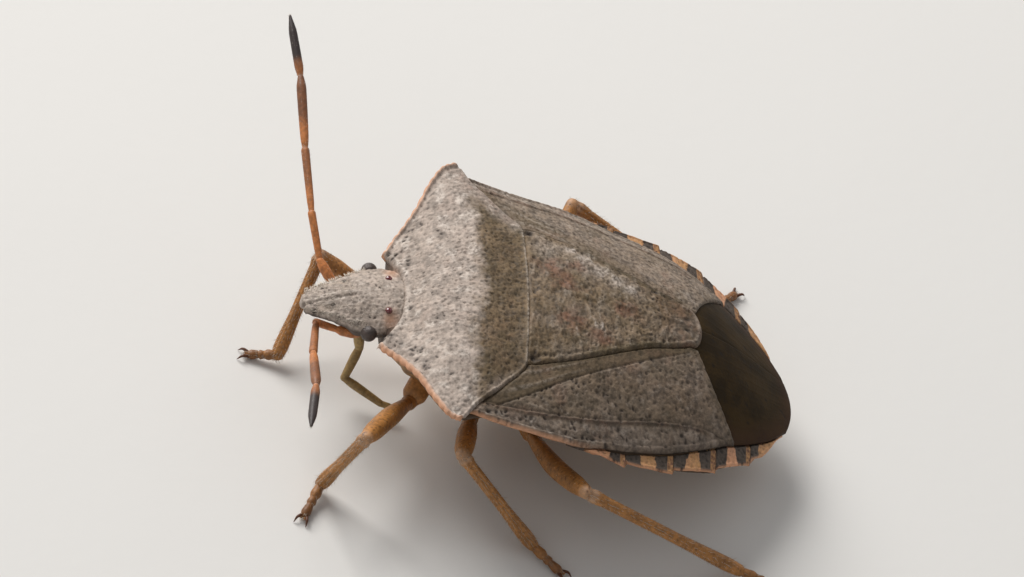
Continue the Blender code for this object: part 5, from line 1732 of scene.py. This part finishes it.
class SHIELDBUG_OT_hairs(bpy.types.Operator):
    """Build the pale scaly hairs that fringe the head"""

    bl_idname = "shield_bug.hairs"
    bl_label = "Head hairs"

    def execute(self, context):
        grid, top, _ = head_surface()
        rooted = stacked(grid, top - 0.012)
        draw = np.random.default_rng(7)
        spikes = []
        rows, columns = top.shape

        def grow(row, column, way, lengths):
            spikes.append((rooted[row, column], way / np.linalg.norm(way) * draw.uniform(*lengths)))

        for side in (-1, 1):
            for _ in range(HEAD_FRINGE_HAIRS):
                row = int(draw.integers(0, rows * 0.62))
                inward = int(draw.integers(1, 10))
                way = np.array([side, -0.9, 0.30 + draw.uniform(-0.2, 0.4)])
                way[:2] += draw.normal(0, 0.25, 2)
                grow(row, inward if side < 0 else columns - 1 - inward, way, HEAD_FRINGE_LENGTHS)
        for _ in range(HEAD_TOP_HAIRS):
            row, column = int(draw.integers(2, rows * 0.75)), int(draw.integers(12, columns - 12))
            grow(row, column, np.array([draw.normal(0, 0.3), -0.8, 0.45]), HEAD_TOP_LENGTHS)
        add_coat("head_hairs", spikes, HEAD_HAIR_RADIUS)
        return {"FINISHED"}


# Stage


def camera_axes():
    """Right, up and back of the camera as unit vectors in the model's frame."""
    turn, rise, roll = CAMERA_AZIMUTH, CAMERA_ELEVATION, CAMERA_ROLL
    backward = Vector((math.sin(turn) * math.cos(rise), -math.cos(turn) * math.cos(rise), math.sin(rise)))
    level = Vector((math.cos(turn), math.sin(turn), 0))
    upright = backward.cross(level)
    right = math.cos(roll) * level + math.sin(roll) * upright
    up = math.cos(roll) * upright - math.sin(roll) * level
    return right, up, backward


def add_area_light(name, way, distance, size, power, colour):
    """A soft square light that faces the bug from a direction, all in metres and watts."""
    light = bpy.data.lights.new(name, "AREA")
    light.shape = "SQUARE"
    light.size = size
    light.energy = power
    light.color = colour
    lamp = bpy.data.objects.new(name, light)
    direction = Vector(way).normalized()
    lamp.location = direction * distance
    lamp.rotation_euler = direction.to_track_quat("Z", "Y").to_euler()
    bpy.context.scene.collection.objects.link(lamp)


class SHIELDBUG_OT_stage(bpy.types.Operator):
    """Set out the pale floor, the soft light and the camera at the photograph's angle"""

    bl_idname = "shield_bug.stage"
    bl_label = "Stage"

    def execute(self, context):
        tint = colours()
        made = Finish("floor", Specular_IOR_Level=0.2)
        cloud = made.noise(9.0, 2.0)
        colour = made.mix(cloud, shade(tint["floor"], 0.97), tint["floor"])
        sides = 64
        turns = [2 * math.pi * k / sides for k in range(sides)]
        ring = [(FLOOR_RADIUS * math.cos(turn), FLOOR_RADIUS * math.sin(turn), 0.0) for turn in turns]
        slices = [(0, 1 + k, 1 + (k + 1) % sides) for k in range(sides)]
        mesh = bpy.data.meshes.new("floor")
        mesh.from_pydata([(0.0, 0.0, 0.0), *ring], [], slices)
        mesh.materials.append(made.finished(colour, 0.8 + 0.1 * cloud, made.noise(0.4, 2.0), 0.004))
        floor = bpy.data.objects.new("floor", mesh)
        context.scene.collection.objects.link(floor)

        right, up, backward = camera_axes()
        shift_right, shift_up = CAMERA_SHIFT
        eye = Vector((0, 0, CAMERA_TARGET_Z)) + backward * CAMERA_DISTANCE
        eye = eye - right * shift_right - up * shift_up
        lens = bpy.data.cameras.new("camera")
        lens.lens = CAMERA_LENS
        lens.sensor_width = 36
        lens.clip_start, lens.clip_end = 0.002, 10
        camera = bpy.data.objects.new("camera", lens)
        axes = Matrix((right, up, backward)).transposed().to_4x4()
        axes.translation = Vector(placed(eye))
        camera.matrix_world = axes
        context.scene.collection.objects.link(camera)
        context.scene.camera = camera

        for light in LIGHTS:
            add_area_light(*light)
        context.scene.view_settings.view_transform = "Standard"
        world = bpy.data.worlds.new("studio")
        world.use_nodes = True
        background = world.node_tree.nodes["Background"]
        background.inputs["Color"].default_value = ROOM_COLOUR
        background.inputs["Strength"].default_value = ROOM_STRENGTH
        context.scene.world = world
        return {"FINISHED"}


class SHIELDBUG_PT_panel(bpy.types.Panel):
    """Lists the steps that dress the shield bug"""

    bl_label = "Shield bug"
    bl_idname = "SHIELDBUG_PT_panel"
    bl_space_type = "VIEW_3D"
    bl_region_type = "UI"
    bl_category = "Shield bug"

    def draw(self, context):
        for step in STEPS:
            self.layout.operator(step.bl_idname)
        for group in (context.scene.shield_bug_sizes, context.scene.shield_bug_colours):
            for name in type(group).__annotations__:
                self.layout.prop(group, name)


STEPS = (
    SHIELDBUG_OT_stage,
    SHIELDBUG_OT_head,
    SHIELDBUG_OT_pronotum,
    SHIELDBUG_OT_scutellum,
    SHIELDBUG_OT_wings,
    SHIELDBUG_OT_membranes,
    SHIELDBUG_OT_connexivum,
    SHIELDBUG_OT_underside,
    SHIELDBUG_OT_eyes,
    SHIELDBUG_OT_antennae,
    SHIELDBUG_OT_beak,
    SHIELDBUG_OT_legs,
    SHIELDBUG_OT_hairs,
)
CLASSES = (ShieldBugSizes, ShieldBugColours, *STEPS, SHIELDBUG_PT_panel)


def register():
    for item in CLASSES:
        bpy.utils.register_class(item)
    bpy.types.Scene.shield_bug_sizes = PointerProperty(type=ShieldBugSizes)
    bpy.types.Scene.shield_bug_colours = PointerProperty(type=ShieldBugColours)


def unregister():
    del bpy.types.Scene.shield_bug_sizes
    del bpy.types.Scene.shield_bug_colours
    for item in reversed(CLASSES):
        bpy.utils.unregister_class(item)


def write_sizes():
    """Brings the view layer up to date."""
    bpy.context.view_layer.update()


def main():
    register()
    for step in STEPS:
        group, name = step.bl_idname.split(".")
        getattr(getattr(bpy.ops, group), name)()
    write_sizes()


if __name__ == "__main__":
    main()
